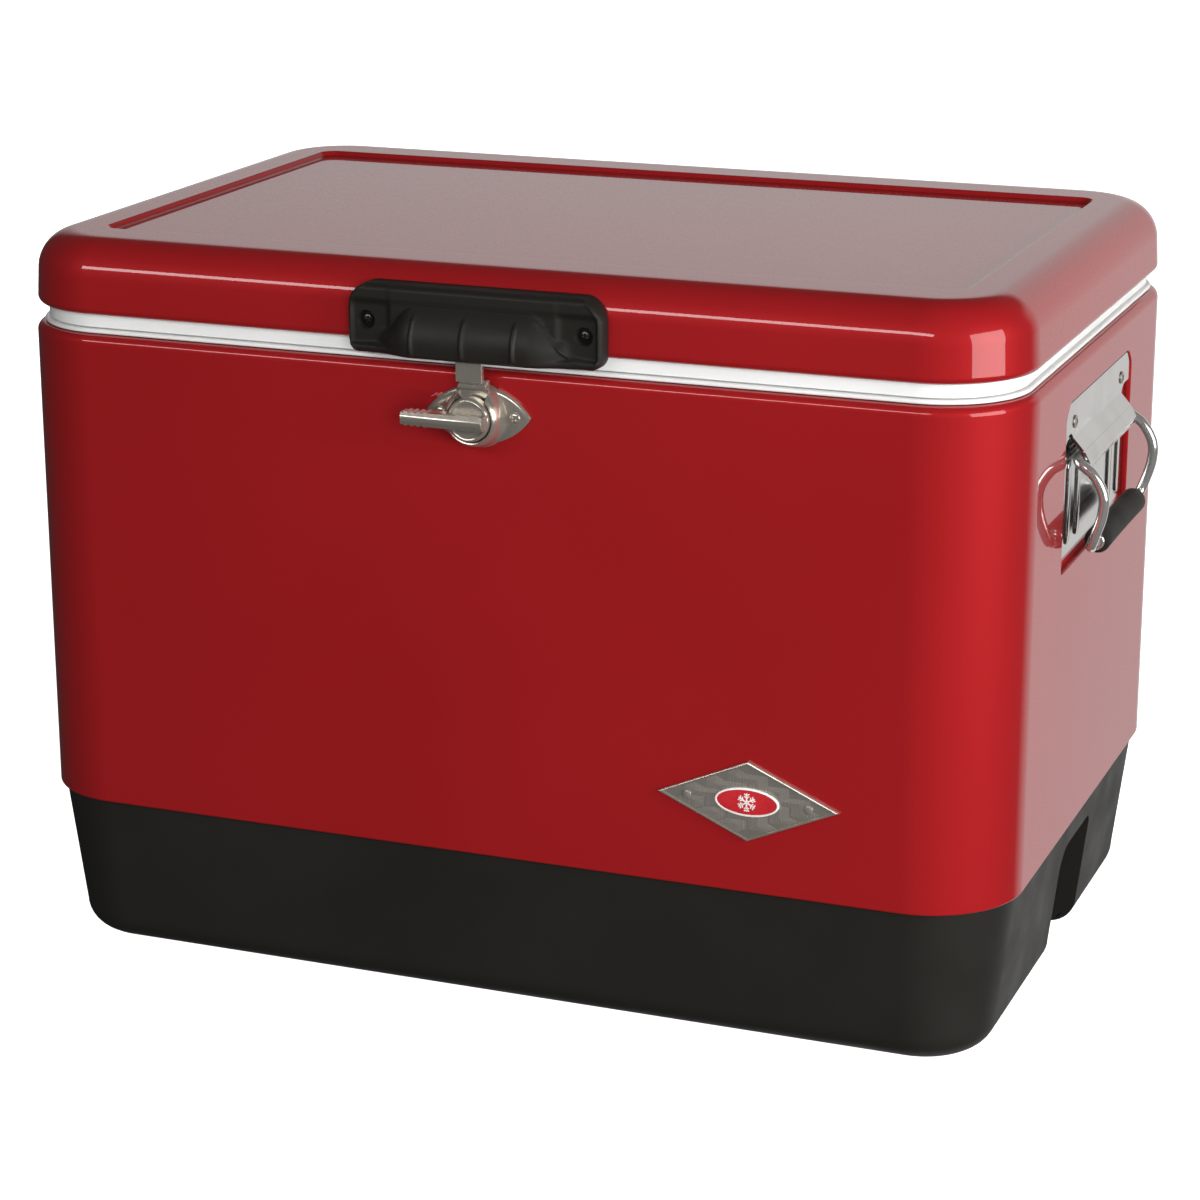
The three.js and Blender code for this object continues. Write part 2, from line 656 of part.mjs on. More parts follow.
function medallion() {
  const { x, z } = BADGE;
  const oval = arc(x, z, 1, 0, Math.PI * 2, 20).slice(0, -1);
  const stretched = oval.map(([px, pz]) => [x + (px - x) * 18, z + (pz - z) * 8]);
  return plate(stretched, "front", -FRONT + 1.8, 1.2);
}

function addBadge(chest) {
  add(chest, "badge_plate", badgePlate(), "stainless");
  add(chest, "badge_medallion", medallion(), "enamel");
  rivetPlaces.forEach((at, i) => {
    fastener(chest, `badge_rivet_${i + 1}`, at, FRONT_DIRECTION, RIVET);
  });
}

// ---------- end handles ----------

function bracket() {
  const out = BRACKET_BACK + BRACKET;
  const sheetOutline = [
    [-HOOD_Y, 323], [HOOD_Y, 323], [HOOD_Y + 4, 327.5], [POCKET_Y - 0.8, 327.5],
    [POCKET_Y - 0.8, POCKET_HIGH - 8.6], [POCKET_Y - 8.6, POCKET_HIGH - 0.8],
    [-POCKET_Y + 8.6, POCKET_HIGH - 0.8], [-POCKET_Y + 0.8, POCKET_HIGH - 8.6],
    [-POCKET_Y + 0.8, 327.5], [-HOOD_Y - 4, 327.5],
  ];
  const sheet = plate(sheetOutline, "right", BRACKET_BACK, BRACKET);
  const outer = [
    [out, 330], [out, 323.5], [295.6, 316.5], [299, 310], [298.6, 307.6], [296.4, 306.4], [291, 306.6],
  ];
  const inner = [
    [291, 307.8], [296, 307.6], [297.5, 309.4], [294.4, 315.8], [BRACKET_BACK, 322.2], [BRACKET_BACK, 330],
  ];
  const hood = plate([...outer, ...inner], "front", -HOOD_Y, 2 * HOOD_Y);
  const holes = bracketScrewPlaces.map((at) => drill(at, X, SCREW));
  return cut(union(sheet, hood), holes);
}

function backplate() {
  const outline = pocketOutline(-0.8, POCKET_LOW + 5.5);
  const skin = plate(outline, "right", WIDTH / 2 - POCKET_DEPTH + GAP, 0.8);
  return cut(skin, bracketScrewPlaces.map((at) => drill(at, X, SCREW)));
}

// The wire: a stub under the hood, a bend into an arm bowed outwards, the bar through the grip, and back.
function bailPath() {
  const start = new THREE.Vector3(BAIL_X, -BAIL_ARM_Y + BAIL_BEND, BAIL_Z);
  const bend = [0, 30, 60, 90].map((degrees) => {
    const angle = THREE.MathUtils.degToRad(degrees);
    const point = start.clone().addScaledVector(BAIL_LEAN, BAIL_BEND * (1 - Math.cos(angle)));
    return point.addScaledVector(Y, -BAIL_BEND * Math.sin(angle));
  });
  const arm = [
    [301.5, 305.5], [307.5, 295], [307.6, 284], [303.8, 271],
  ].map(([x, z]) => new THREE.Vector3(x, -BAIL_ARM_Y, z));
  const half = [
    new THREE.Vector3(BAIL_X, -34, BAIL_Z), ...bend, ...arm,
    new THREE.Vector3(GRIP_X, -BAIL_ARM_Y + 3, GRIP_Z), new THREE.Vector3(GRIP_X, -GRIP_Y - 2, GRIP_Z),
  ];
  const other = half.map(({ x, y, z }) => new THREE.Vector3(x, -y, z)).reverse();
  const points = [...half, new THREE.Vector3(GRIP_X, 0, GRIP_Z), ...other];
  return new THREE.CatmullRomCurve3(points, false, "centripetal");
}

function bailWire() {
  const section = new THREE.Shape(arc(0, 0, BAIL_WIRE, 0, Math.PI * 2, 8).slice(0, -1)
    .map((p) => new THREE.Vector2(...p)));
  const options = { steps: 108, extrudePath: bailPath(), bevelEnabled: false };
  return solid(new THREE.ExtrudeGeometry(section, options));
}

function bailGrip() {
  const bore = BAIL_WIRE + GAP;
  const profile = [
    [bore, -GRIP_Y], [GRIP_RADIUS - 1.2, -GRIP_Y], [GRIP_RADIUS, -GRIP_Y + 2],
    [GRIP_RADIUS, GRIP_Y - 2], [GRIP_RADIUS - 1.2, GRIP_Y], [bore, GRIP_Y], [bore, -GRIP_Y],
  ];
  return turned(profile, [GRIP_X, 0, GRIP_Z], Y, 16);
}

function addEndHandle(chest, side) {
  const end = new THREE.Group();
  end.rotation.z = side === "left" ? Math.PI : 0;
  chest.add(end);
  add(end, `handle_backplate_${side}`, backplate(), "stainless");
  add(end, `handle_bracket_${side}`, bracket(), "stainless");
  bracketScrewPlaces.forEach((at, i) => {
    fastener(end, `handle_screw_${side}_${i + 1}`, at, X, SCREW);
  });
  add(end, `bail_${side}`, bailWire(), "stainless");
  add(end, `bail_grip_${side}`, bailGrip(), "rubber");
}

// ---------- hinges ----------

// One leaf in the hinge's own frame, whose origin is the pin's middle.
function leaf(knuckles, plateY, low, high, screwZ) {
  const pieces = [box([-LEAF_X, plateY, low], [LEAF_X, plateY + LEAF, high])];
  for (const [from, to] of knuckles) {
    pieces.push(rod(KNUCKLE, [0, 0, 0], X, from, to, 16));
    pieces.push(box([from, plateY, Math.min(0, low)], [to, plateY + LEAF, Math.max(0, high)]));
  }
  const holes = [rod(PIN + GAP, [0, 0, 0], X, -LEAF_X - 5, LEAF_X + 5, 14)];
  for (const end of [-1, 1]) {
    holes.push(drill([end * LEAF_SCREW_X, plateY, screwZ], Y, SMALL_SCREW));
  }
  return cut(union(...pieces), holes);
}

function addHinge(chest, side) {
  const name = side < 0 ? "left" : "right";
  const hinge = new THREE.Group();
  hinge.position.set(side * HINGE_X, HINGE_Y, HINGE_Z);
  chest.add(hinge);
  const outer = [[-LEAF_X, -10.3], [10.3, LEAF_X]];
  const bodyLeaf = leaf(outer, BODY_LEAF_Y - HINGE_Y, -34, -6, BODY_SCREW_Z - HINGE_Z);
  add(hinge, `hinge_body_leaf_${name}`, bodyLeaf, "stainless");
  const lidLeaf = leaf([[-9.7, 9.7]], LID_LEAF_Y - HINGE_Y, 7, 23.5, LID_SCREW_Z - HINGE_Z);
  add(hinge, `hinge_lid_leaf_${name}`, lidLeaf, "stainless");
  const half = LEAF_X + 0.4;
  const pin = [
    [0, -half - 1], [2.2, -half - 1], [2.2, -half], [PIN, -half],
    [PIN, half], [2.2, half], [2.2, half + 1], [0, half + 1],
  ];
  add(hinge, `hinge_pin_${name}`, turned(pin, [0, 0, 0], X, 14), "stainless");
}

function addHingeScrews(chest) {
  const places = { body: bodyLeafScrewPlaces, lid: lidLeafScrewPlaces };
  for (const [leafName, spots] of Object.entries(places)) {
    spots.forEach((at, i) => fastener(chest, `hinge_${leafName}_screw_${i + 1}`, at, Y, SMALL_SCREW));
  }
}

// ---------- the whole chest ----------

const chest = new THREE.Group();
add(chest, "base_tub", baseTub(), "black");
add(chest, "steel_belt", steelBelt(), "red");
add(chest, "tub_liner", tubLiner(), "white");
add(chest, "body_foam", bodyFoam(), "foam");
addDrain(chest);
add(chest, "lid_shell", lidShell(), "red");
add(chest, "lid_liner", lidLiner(), "white");
add(chest, "lid_foam", lidFoam(), "foam");
add(chest, "lid_handle", lidHandle(), "black");
handleScrewPlaces.forEach((at, i) => {
  fastener(chest, `lid_handle_screw_${i + 1}`, at, FRONT_DIRECTION, { ...SMALL_SCREW, length: 13 });
});
add(chest, "strike_plate", strike(), "stainless");
addLatch(chest);
addBadge(chest);
for (const side of ["right", "left"]) addEndHandle(chest, side);
for (const side of [-1, 1]) addHinge(chest, side);
addHingeScrews(chest);

export default chest;
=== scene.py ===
# Looks for the steel-belted cooler chest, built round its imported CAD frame. Lengths are in metres.
import json
import math

import bmesh
import bpy
from mathutils import Matrix, Vector


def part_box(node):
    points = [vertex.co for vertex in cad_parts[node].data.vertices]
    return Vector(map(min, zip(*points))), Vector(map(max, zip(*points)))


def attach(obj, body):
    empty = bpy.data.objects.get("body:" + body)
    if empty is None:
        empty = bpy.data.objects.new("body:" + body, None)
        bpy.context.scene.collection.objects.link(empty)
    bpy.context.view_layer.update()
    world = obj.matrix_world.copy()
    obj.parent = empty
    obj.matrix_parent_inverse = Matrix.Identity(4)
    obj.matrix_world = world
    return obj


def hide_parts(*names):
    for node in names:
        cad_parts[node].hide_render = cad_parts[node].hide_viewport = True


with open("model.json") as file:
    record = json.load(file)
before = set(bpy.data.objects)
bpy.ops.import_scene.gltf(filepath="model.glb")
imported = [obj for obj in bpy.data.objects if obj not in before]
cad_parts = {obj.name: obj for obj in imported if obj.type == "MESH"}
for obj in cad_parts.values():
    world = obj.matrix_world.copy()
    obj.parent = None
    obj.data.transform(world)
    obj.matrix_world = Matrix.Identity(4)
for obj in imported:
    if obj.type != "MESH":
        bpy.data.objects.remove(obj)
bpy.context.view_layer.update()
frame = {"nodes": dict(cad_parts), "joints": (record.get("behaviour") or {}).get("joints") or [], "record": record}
MM = 0.001
NODES = frame["nodes"]
JOINTS = {joint["name"]: joint for joint in frame["joints"]}
OPENINGS = {o["name"]: o["box_m"] for o in frame["record"]["physics"]["openings"]}

# ---------- places read from the frame ----------

BELT_LOW, BELT_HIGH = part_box("steel_belt")
BASE_LOW, BASE_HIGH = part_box("base_tub")
LID_LOW, LID_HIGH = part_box("lid_shell")
TUB_LOW, TUB_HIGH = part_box("tub_liner")
LINER_LOW, LINER_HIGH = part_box("lid_liner")
HALF_X, HALF_Y = BELT_HIGH.x, BELT_HIGH.y
BASE_TOP, BELT_TOP, SEAM = BELT_LOW.z, BELT_HIGH.z, TUB_HIGH.z
LID_BOTTOM, HEIGHT = LID_LOW.z, LID_HIGH.z
FRONT = BELT_LOW.y
LID_FRONT = LID_LOW.y
CORNER = 54 * MM
SHEET = 0.8 * MM
CORNER_STEPS = 24
AXIS_RADIUS = 1e-7
DRAIN_BORE = 11.4 * MM

# ---------- camera ----------

CAMERA_AIM = Vector((-4.75, -4.39, 185.87)) * MM
CAMERA_AZIMUTH = math.radians(21.26)
CAMERA_ELEVATION = math.radians(16.84)
CAMERA_ROLL = math.radians(-0.08)
CAMERA_DISTANCE = 1.9592
CAMERA_LENS = 98.84


def make_camera():
    data = bpy.data.cameras.new("camera")
    data.lens = CAMERA_LENS
    data.sensor_width = 36
    data.clip_start = 0.05
    camera = bpy.data.objects.new("camera", data)
    bpy.context.scene.collection.objects.link(camera)
    flat = math.cos(CAMERA_ELEVATION)
    back = Vector((
        math.sin(CAMERA_AZIMUTH) * flat,
        -math.cos(CAMERA_AZIMUTH) * flat,
        math.sin(CAMERA_ELEVATION),
    ))
    camera.location = CAMERA_AIM + back * CAMERA_DISTANCE
    turn = (-back).to_track_quat("-Z", "Y").to_matrix().to_4x4()
    camera.rotation_euler = (turn @ Matrix.Rotation(CAMERA_ROLL, 4, "Z")).to_euler()
    bpy.context.scene.camera = camera


# ---------- node helpers ----------


def new_material(name):
    material = bpy.data.materials.new(name)
    material.use_nodes = True
    tree = material.node_tree
    tree.nodes.clear()
    output = tree.nodes.new("ShaderNodeOutputMaterial")
    shader = tree.nodes.new("ShaderNodeBsdfPrincipled")
    tree.links.new(shader.outputs[0], output.inputs["Surface"])
    return material, tree, shader


def put(node, **values):
    """Sets inputs by name, with an underscore for each space."""
    for name, value in values.items():
        node.inputs[name.replace("_", " ")].default_value = value


def noise(tree, scale, detail=2.0, stretch=None):
    """Noise in the row frame, so its grain keeps one real size on every piece."""
    place = tree.nodes.new("ShaderNodeTexCoord")
    node = tree.nodes.new("ShaderNodeTexNoise")
    put(node, Scale=scale, Detail=detail, Roughness=0.5)
    if stretch:
        mapping = tree.nodes.new("ShaderNodeMapping")
        put(mapping, Scale=stretch)
        tree.links.new(place.outputs["Object"], mapping.inputs["Vector"])
        tree.links.new(mapping.outputs[0], node.inputs["Vector"])
    else:
        tree.links.new(place.outputs["Object"], node.inputs["Vector"])
    return node.outputs[0]


def remap(tree, value, low, high, start=0.3, end=0.7):
    node = tree.nodes.new("ShaderNodeMapRange")
    put(node, From_Min=start, From_Max=end, To_Min=low, To_Max=high)
    tree.links.new(value, node.inputs["Value"])
    return node.outputs[0]


def blend_colours(tree, value, first, second, start=0.3, end=0.7):
    ramp = tree.nodes.new("ShaderNodeValToRGB")
    ramp.color_ramp.elements[0].position = start
    ramp.color_ramp.elements[0].color = (*first, 1)
    ramp.color_ramp.elements[1].position = end
    ramp.color_ramp.elements[1].color = (*second, 1)
    tree.links.new(value, ramp.inputs["Fac"])
    return ramp.outputs["Color"]


def bump(tree, value, distance, strength=1.0, normal=None):
    node = tree.nodes.new("ShaderNodeBump")
    put(node, Strength=strength, Distance=distance)
    tree.links.new(value, node.inputs["Height"])
    if normal:
        tree.links.new(normal, node.inputs["Normal"])
    return node.outputs[0]


# ---------- materials ----------


def red_paint():
    """Deep red enamel with a fine flake under a thick glossy coat, and a faint orange peel."""
    material, tree, shader = new_material("red_enamel")
    cloud = noise(tree, 6, 3)
    colour = blend_colours(tree, cloud, (0.335, 0.0100, 0.0120), (0.365, 0.0115, 0.0140))
    tree.links.new(colour, shader.inputs["Base Color"])
    put(shader, Metallic=0.3)
    fleck = noise(tree, 900, 2)
    tree.links.new(remap(tree, fleck, 0.42, 0.52), shader.inputs["Roughness"])
    put(shader, Specular_IOR_Level=0.1, Coat_Weight=1.0, Coat_Roughness=0.02, Coat_IOR=1.5)
    peel = bump(tree, noise(tree, 220, 1), 0.00002, 0.05)
    ripple = bump(tree, noise(tree, 12, 1), 0.0005, 0.05, peel)
    tree.links.new(ripple, shader.inputs["Coat Normal"])
    return material


def black_plastic(name="moulded_black", grain=1500, rough=(0.46, 0.6), depth=0.00006, sheen=0.5):
    """Spark-grained polyethylene: a fine even pebble with slightly uneven sheen."""
    material, tree, shader = new_material(name)
    cloud = noise(tree, 9, 3)
    colour = blend_colours(tree, cloud, (0.0118, 0.0112, 0.0092), (0.0150, 0.0140, 0.0120))
    tree.links.new(colour, shader.inputs["Base Color"])
    pebble = noise(tree, grain, 2)
    tree.links.new(remap(tree, noise(tree, 30, 4), *rough), shader.inputs["Roughness"])
    put(shader, Specular_IOR_Level=sheen)
    tree.links.new(bump(tree, pebble, depth, 0.5), shader.inputs["Normal"])
    return material


def white_plastic():
    material, tree, shader = new_material("liner_white")
    cloud = noise(tree, 12, 3)
    colour = blend_colours(tree, cloud, (0.73, 0.742, 0.73), (0.77, 0.78, 0.77))
    tree.links.new(colour, shader.inputs["Base Color"])
    tree.links.new(remap(tree, noise(tree, 40, 3), 0.32, 0.44), shader.inputs["Roughness"])
    put(shader, Subsurface_Weight=0.05, Subsurface_Scale=0.002)
    tree.links.new(bump(tree, noise(tree, 500, 2), 0.00003, 0.3), shader.inputs["Normal"])
    return material


def metal(name, dark, light, rough, stretch=None, grain=700, depth=0.00002, cloud_scale=40, bare=1.0):
    """Bare metal with drawn or cast grain; stretch makes the grain run along one axis."""
    material, tree, shader = new_material(name)
    cloud = noise(tree, cloud_scale, 4)
    tree.links.new(blend_colours(tree, cloud, dark, light), shader.inputs["Base Color"])
    put(shader, Metallic=bare)
    lines = noise(tree, grain, 3, stretch)
    tree.links.new(remap(tree, lines, *rough), shader.inputs["Roughness"])
    tree.links.new(bump(tree, lines, depth, 0.12), shader.inputs["Normal"])
    return material


def enamel(name, first, second):
    material, tree, shader = new_material(name)
    tree.links.new(blend_colours(tree, noise(tree, 60, 3), first, second), shader.inputs["Base Color"])
    tree.links.new(remap(tree, noise(tree, 300, 2), 0.22, 0.34), shader.inputs["Roughness"])
    put(shader, Coat_Weight=0.6, Coat_Roughness=0.08)
    tree.links.new(bump(tree, noise(tree, 400, 2), 0.00003, 0.2), shader.inputs["Normal"])
    return material


def foam():
    """Rigid cast foam: a pale amber skin with open cells, each cell's pit darkened by painted shade."""
    material, tree, shader = new_material("rigid_foam")
    cells = tree.nodes.new("ShaderNodeTexVoronoi")
    put(cells, Scale=700)
    place = tree.nodes.new("ShaderNodeTexCoord")
    tree.links.new(place.outputs["Object"], cells.inputs["Vector"])
    depth = cells.outputs["Distance"]
    # Painted shade: the colour darkens towards each cell's centre, where the bump sinks deepest.
    colour = blend_colours(tree, depth, (0.45, 0.33, 0.14), (0.74, 0.62, 0.36), 0.1, 0.6)
    tree.links.new(colour, shader.inputs["Base Color"])
    put(shader, Roughness=0.9)
    tree.links.new(bump(tree, depth, 0.0004, 0.6), shader.inputs["Normal"])
    return material


MATERIALS = {
    "red_paint": red_paint(),
    "black_plastic": black_plastic(),
    "handle_black": black_plastic("handle_black", 1900, (0.46, 0.58), 0.00004, 0.3),
    "white_plastic": white_plastic(),
    "foam": foam(),
    "stainless": metal("polished_stainless", (0.66, 0.65, 0.63), (0.74, 0.73, 0.71), (0.10, 0.17),
                       (1, 0.03, 1)),
    "wire": metal("polished_wire", (0.78, 0.765, 0.74), (0.86, 0.845, 0.82), (0.10, 0.14),
                  (0.2, 0.2, 1), 900, bare=0.86),
    "nickel": metal("cast_nickel", (0.58, 0.53, 0.46), (0.64, 0.59, 0.52), (0.20, 0.25),
                    None, 260, 0.00001, 30, 0.82),
    "stamped_steel": metal("stamped_steel", (0.335, 0.305, 0.27), (0.395, 0.36, 0.325), (0.25, 0.28),
                           (1, 1, 0.06), 900, 0.000003, bare=0.6),
    "enamel": enamel("badge_red", (0.42, 0.016, 0.022), (0.50, 0.022, 0.030)),
    "badge_pale": enamel("badge_pale", (0.74, 0.73, 0.69), (0.82, 0.81, 0.78)),
    "grip": black_plastic("grip_rubber", 1100, (0.55, 0.7), 0.00009),
    "rubber": black_plastic("seal_rubber", 800, (0.7, 0.85), 0.00004),
    "black_screw": metal("black_screw", (0.10, 0.10, 0.10), (0.16, 0.16, 0.155), (0.3, 0.42)),
}

# ---------- mesh helpers ----------


def link(mesh, name):
    piece = bpy.data.objects.new(name, mesh)
    bpy.context.scene.collection.objects.link(piece)
    return piece


def soften(mesh, degrees=32):
    """Smooth shading, with edges sharper than that left crisp."""
    work = bmesh.new()
    work.from_mesh(mesh)
    for face in work.faces:
        face.smooth = True
    for edge in work.edges:
        edge.smooth = len(edge.link_faces) == 2 and edge.calc_face_angle(0) < math.radians(degrees)
    work.to_mesh(mesh)
    work.free()


def build(name, points, faces):
    mesh = bpy.data.meshes.new(name)
    mesh.from_pydata([tuple(p) for p in points], [], faces)
    work = bmesh.new()
    work.from_mesh(mesh)
    bmesh.ops.remove_doubles(work, verts=work.verts, dist=1e-6)
    bmesh.ops.dissolve_degenerate(work, edges=work.edges, dist=1e-6)
    bmesh.ops.recalc_face_normals(work, faces=work.faces)
    work.to_mesh(mesh)
    work.free()
    return link(mesh, name)


def loft(name, rings, loop=False):
    """A skin through rings with the same number of points, closed by a face at each end or by looping."""
    count = len(rings[0])
    points = [p for ring_points in rings for p in ring_points]
    bands = len(rings) if loop else len(rings) - 1
    faces = []
    for band in range(bands):
        low, high = band * count, ((band + 1) % len(rings)) * count
        for i in range(count):
            j = (i + 1) % count
            faces.append((low + i, low + j, high + j, high + i))
    if not loop:
        last = (len(rings) - 1) * count
        faces.append(tuple(reversed(range(count))))
        faces.append(tuple(range(last, last + count)))
    return build(name, points, faces)


def ring(half_x, half_y, radius, z, steps=CORNER_STEPS):
    points = []
    for corner in range(4):
        x = (1 if corner in (0, 3) else -1) * (half_x - radius)
        y = (1 if corner < 2 else -1) * (half_y - radius)
        for step in range(steps + 1):
            angle = (corner + step / steps) * math.pi / 2
            points.append(Vector((x + radius * math.cos(angle), y + radius * math.sin(angle), z)))
    return points


def chest_ring(inset, z):
    """The chest's own outline, drawn in by an inset."""
    return ring(HALF_X - inset, HALF_Y - inset, CORNER - inset, z)


def circle(sides):
    """The angles of a full turn in equal steps."""
    return [2 * math.pi * i / sides for i in range(sides)]


def in_mm(pairs):
    """Pairs written in millimetres, as metres."""
    return [(a * MM, b * MM) for a, b in pairs]


def arc(centre_a, centre_b, radius, start, end, steps):
    """(a, b) pairs along an arc, with its angles in degrees."""
    angles = [math.radians(start + (end - start) * i / steps) for i in range(steps + 1)]
    return [(centre_a + radius * math.cos(t), centre_b + radius * math.sin(t)) for t in angles]


def rounded(corners, steps=5):
    """A polygon whose (a, b, radius) corners are rounded."""
    made = []
    for i, (a, b, radius) in enumerate(corners):
        here = Vector((a, b))
        if not radius:
            made.append((a, b))
            continue
        before, after = Vector(corners[i - 1][:2]), Vector(corners[(i + 1) % len(corners)][:2])
        start = here + (before - here).normalized() * radius
        end = here + (after - here).normalized() * radius
        for step in range(steps + 1):
            t = step / steps
            made.append(tuple(start * (1 - t) ** 2 + here * 2 * t * (1 - t) + end * t ** 2))
    return made


def prism(name, outline, direction, start, end, bevel=0.0, segments=3):
    """An outline pushed along an axis, its two rims rounded by a bevel. Outlines are (Y, Z) or (X, Z)."""
    place = {
        "x": lambda a, b, d: Vector((d, a, b)),
        "y": lambda a, b, d: Vector((a, d, b)),
        "z": lambda a, b, d: Vector((a, b, d)),
    }[direction]
    piece = loft(name, [[place(a, b, d) for a, b in outline] for d in (start, end)])
    if bevel:
        rim_bevel(piece, bevel, segments)
    return piece


def rim_bevel(piece, width, segments=3, degrees=50, keep=None):
    work = bmesh.new()
    work.from_mesh(piece.data)
    edges = [
        e for e in work.edges
        if e.calc_face_angle(0) > math.radians(degrees) and (keep is None or keep(e))
    ]
    bmesh.ops.bevel(
        work, geom=edges, offset=width, segments=segments, profile=0.5, affect="EDGES", clamp_overlap=True,
    )
    work.to_mesh(piece.data)
    work.free()


def turned(name, profile, at, direction, sides=48):
    """A turned piece from (radius, distance) pairs, from axis to axis or closed on itself."""
    turn = Vector((0, 0, 1)).rotation_difference(Vector(direction)).to_matrix()
    at = Vector(at)
    closed = profile[0] == profile[-1]
    pairs = profile[:-1] if closed else profile
    rings = []
    for radius, along in pairs:
        radius = max(radius, AXIS_RADIUS)
        spots = [(radius * math.cos(t), radius * math.sin(t), along) for t in circle(sides)]
        rings.append([at + turn @ Vector(spot) for spot in spots])
    return loft(name, rings, loop=closed)


def tube(name, path, radius, sides=20):
    """A round wire along a path of points, closed at both ends."""
    rings = []
    side = None
    for i, point in enumerate(path):
        ahead = (path[min(i + 1, len(path) - 1)] - path[max(i - 1, 0)]).normalized()
        if side is None:
            side = ahead.orthogonal().normalized()
        side = (side - ahead * side.dot(ahead)).normalized()
        other = ahead.cross(side)
        rings.append([point + radius * (math.cos(t) * side + math.sin(t) * other) for t in circle(sides)])
    return loft(name, rings)


def boolean(piece, tool, operation="DIFFERENCE"):
    """Cuts or joins by another mesh, which is then removed."""
    modifier = piece.modifiers.new("cut", "BOOLEAN")
    modifier.object = tool
    modifier.operation = operation
    modifier.solver = "EXACT"
    bpy.context.view_layer.update()
    result = bpy.data.meshes.new_from_object(piece.evaluated_get(bpy.context.evaluated_depsgraph_get()))
    piece.modifiers.clear()
    piece.data = result
    bpy.data.objects.remove(tool)
    work = bmesh.new()
    work.from_mesh(piece.data)
    bmesh.ops.remove_doubles(work, verts=work.verts, dist=2e-6)
    bmesh.ops.dissolve_degenerate(work, edges=work.edges, dist=1e-6)
    work.to_mesh(piece.data)
    work.free()
    return piece


def block(low, high, name="tool"):
    corners = [(low[0], low[1]), (high[0], low[1]), (high[0], high[1]), (low[0], high[1])]
    return prism(name, corners, "z", low[2], high[2])


def dress(piece, body, material, replaces=(), smooth=32, weighted=False):
    """Gives a finished piece smooth shading, its material and body, and hides the CAD nodes it stands for."""
    soften(piece.data, smooth)
    piece.data.materials.clear()
    piece.data.materials.append(MATERIALS[material])
    if weighted:
        modifier = piece.modifiers.new("flat_first_normals", "WEIGHTED_NORMAL")
        modifier.keep_sharp = True
        modifier.weight = 100
    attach(piece, body)
    if replaces:
        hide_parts(*replaces)
    return piece


def smoothstep(low, high, value):
    """0 at low and 1 at high, whichever of them is larger."""
    t = min(max((value - low) / (high - low), 0.0), 1.0)
    return t * t * (3 - 2 * t)


# ---------- base ----------

BASE_INSET = 3.4 * MM
BASE_DRAFT = 0.12
BASE_FILLET = 17 * MM
BASE_WALL = 3 * MM
NOTCH_Y = (-20 * MM, 48 * MM)
NOTCH_TOP = 72 * MM
NOTCH_END = (256 * MM, 266 * MM)


def base_inset(z):
    straight = BASE_INSET + BASE_DRAFT * (BASE_TOP - min(max(z, BASE_FILLET), BASE_TOP))
    sunk = max(BASE_FILLET - z, 0)
    return straight + BASE_FILLET - math.sqrt(BASE_FILLET ** 2 - sunk ** 2)


def notch(side):
    outline = rounded([
        (NOTCH_Y[0], -20 * MM, 0), (NOTCH_Y[1], -20 * MM, 0),
        (NOTCH_Y[1], NOTCH_TOP, 9 * MM), (NOTCH_Y[0], NOTCH_TOP, 16 * MM),
    ], 8)
    slope = (NOTCH_END[1] - NOTCH_END[0]) / NOTCH_TOP
    rings = []
    for end in (0, 1):
        reach = lambda z: HALF_X + 20 * MM if end else NOTCH_END[0] + slope * z
        rings.append([Vector((side * reach(z), y, z)) for y, z in outline])
    return loft("notch", rings)


def drain_hole(end):
    """A round tool on the drain's axis, from outside the left end to an X."""
    low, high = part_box("drain_spout")
    middle = (low + high) / 2
    start = -300 * MM
    profile = [(0, start), (DRAIN_BORE, start), (DRAIN_BORE, end), (0, end)]
    return turned("hole", profile, (0, middle.y, middle.z), (1, 0, 0))


def make_base():
    heights = [BASE_FILLET * (1 - math.cos(math.radians(90 * i / 10))) for i in range(11)]
    heights += [50 * MM, 89 * MM, BASE_TOP, BASE_HIGH.z]
    outside = [chest_ring(base_inset(z), z) for z in heights]
    depths = (BASE_HIGH.z, BASE_TOP, BASE_FILLET, BASE_WALL)
    inside = [chest_ring(base_inset(z) + BASE_WALL, z) for z in depths]
    base = loft("base_moulding", outside + inside)
    for side in (-1, 1):
        levels = (0.5 * MM, BASE_FILLET, 75 * MM)
        wall = loft("wall", [chest_ring(base_inset(z) + 0.5 * MM, z) for z in levels])
        grown = block(
            (NOTCH_END[0] - 3 * MM, NOTCH_Y[0] - 3 * MM, 0.5 * MM),
            (HALF_X, NOTCH_Y[1] + 3 * MM, 75 * MM),
        )
        if side < 0:
            grown.data.transform(Matrix.Scale(-1, 4, (1, 0, 0)))
            grown.data.flip_normals()
        boolean(base, boolean(wall, grown, "INTERSECT"), "UNION")
    for side in (-1, 1):
        boolean(base, notch(side))
    groove = loft("groove", [
        ring(206 * MM, 126 * MM, 30 * MM, -1 * MM), ring(206 * MM, 126 * MM, 30 * MM, 2 * MM),
        ring(200 * MM, 120 * MM, 24 * MM, 2 * MM), ring(200 * MM, 120 * MM, 24 * MM, -1 * MM),
    ], loop=True)
    boolean(base, groove)
    boolean(base, drain_hole(-230 * MM))

    def at_mouth(edge):
        """The notch's rim on the outer wall."""
        spots = [v.co for v in edge.verts]
        return all(
            abs(p.x) > NOTCH_END[1] - 4 * MM and NOTCH_Y[0] - MM < p.y < NOTCH_Y[1] + MM and p.z > -MM
            and abs(abs(p.x) - (HALF_X - base_inset(p.z))) < 0.6 * MM for p in spots
        )

    rim_bevel(base, 1.6 * MM, 4, 40, at_mouth)
    dress(base, "chest", "black_plastic", replaces=["base_tub"], weighted=True)


# ---------- steel belt ----------

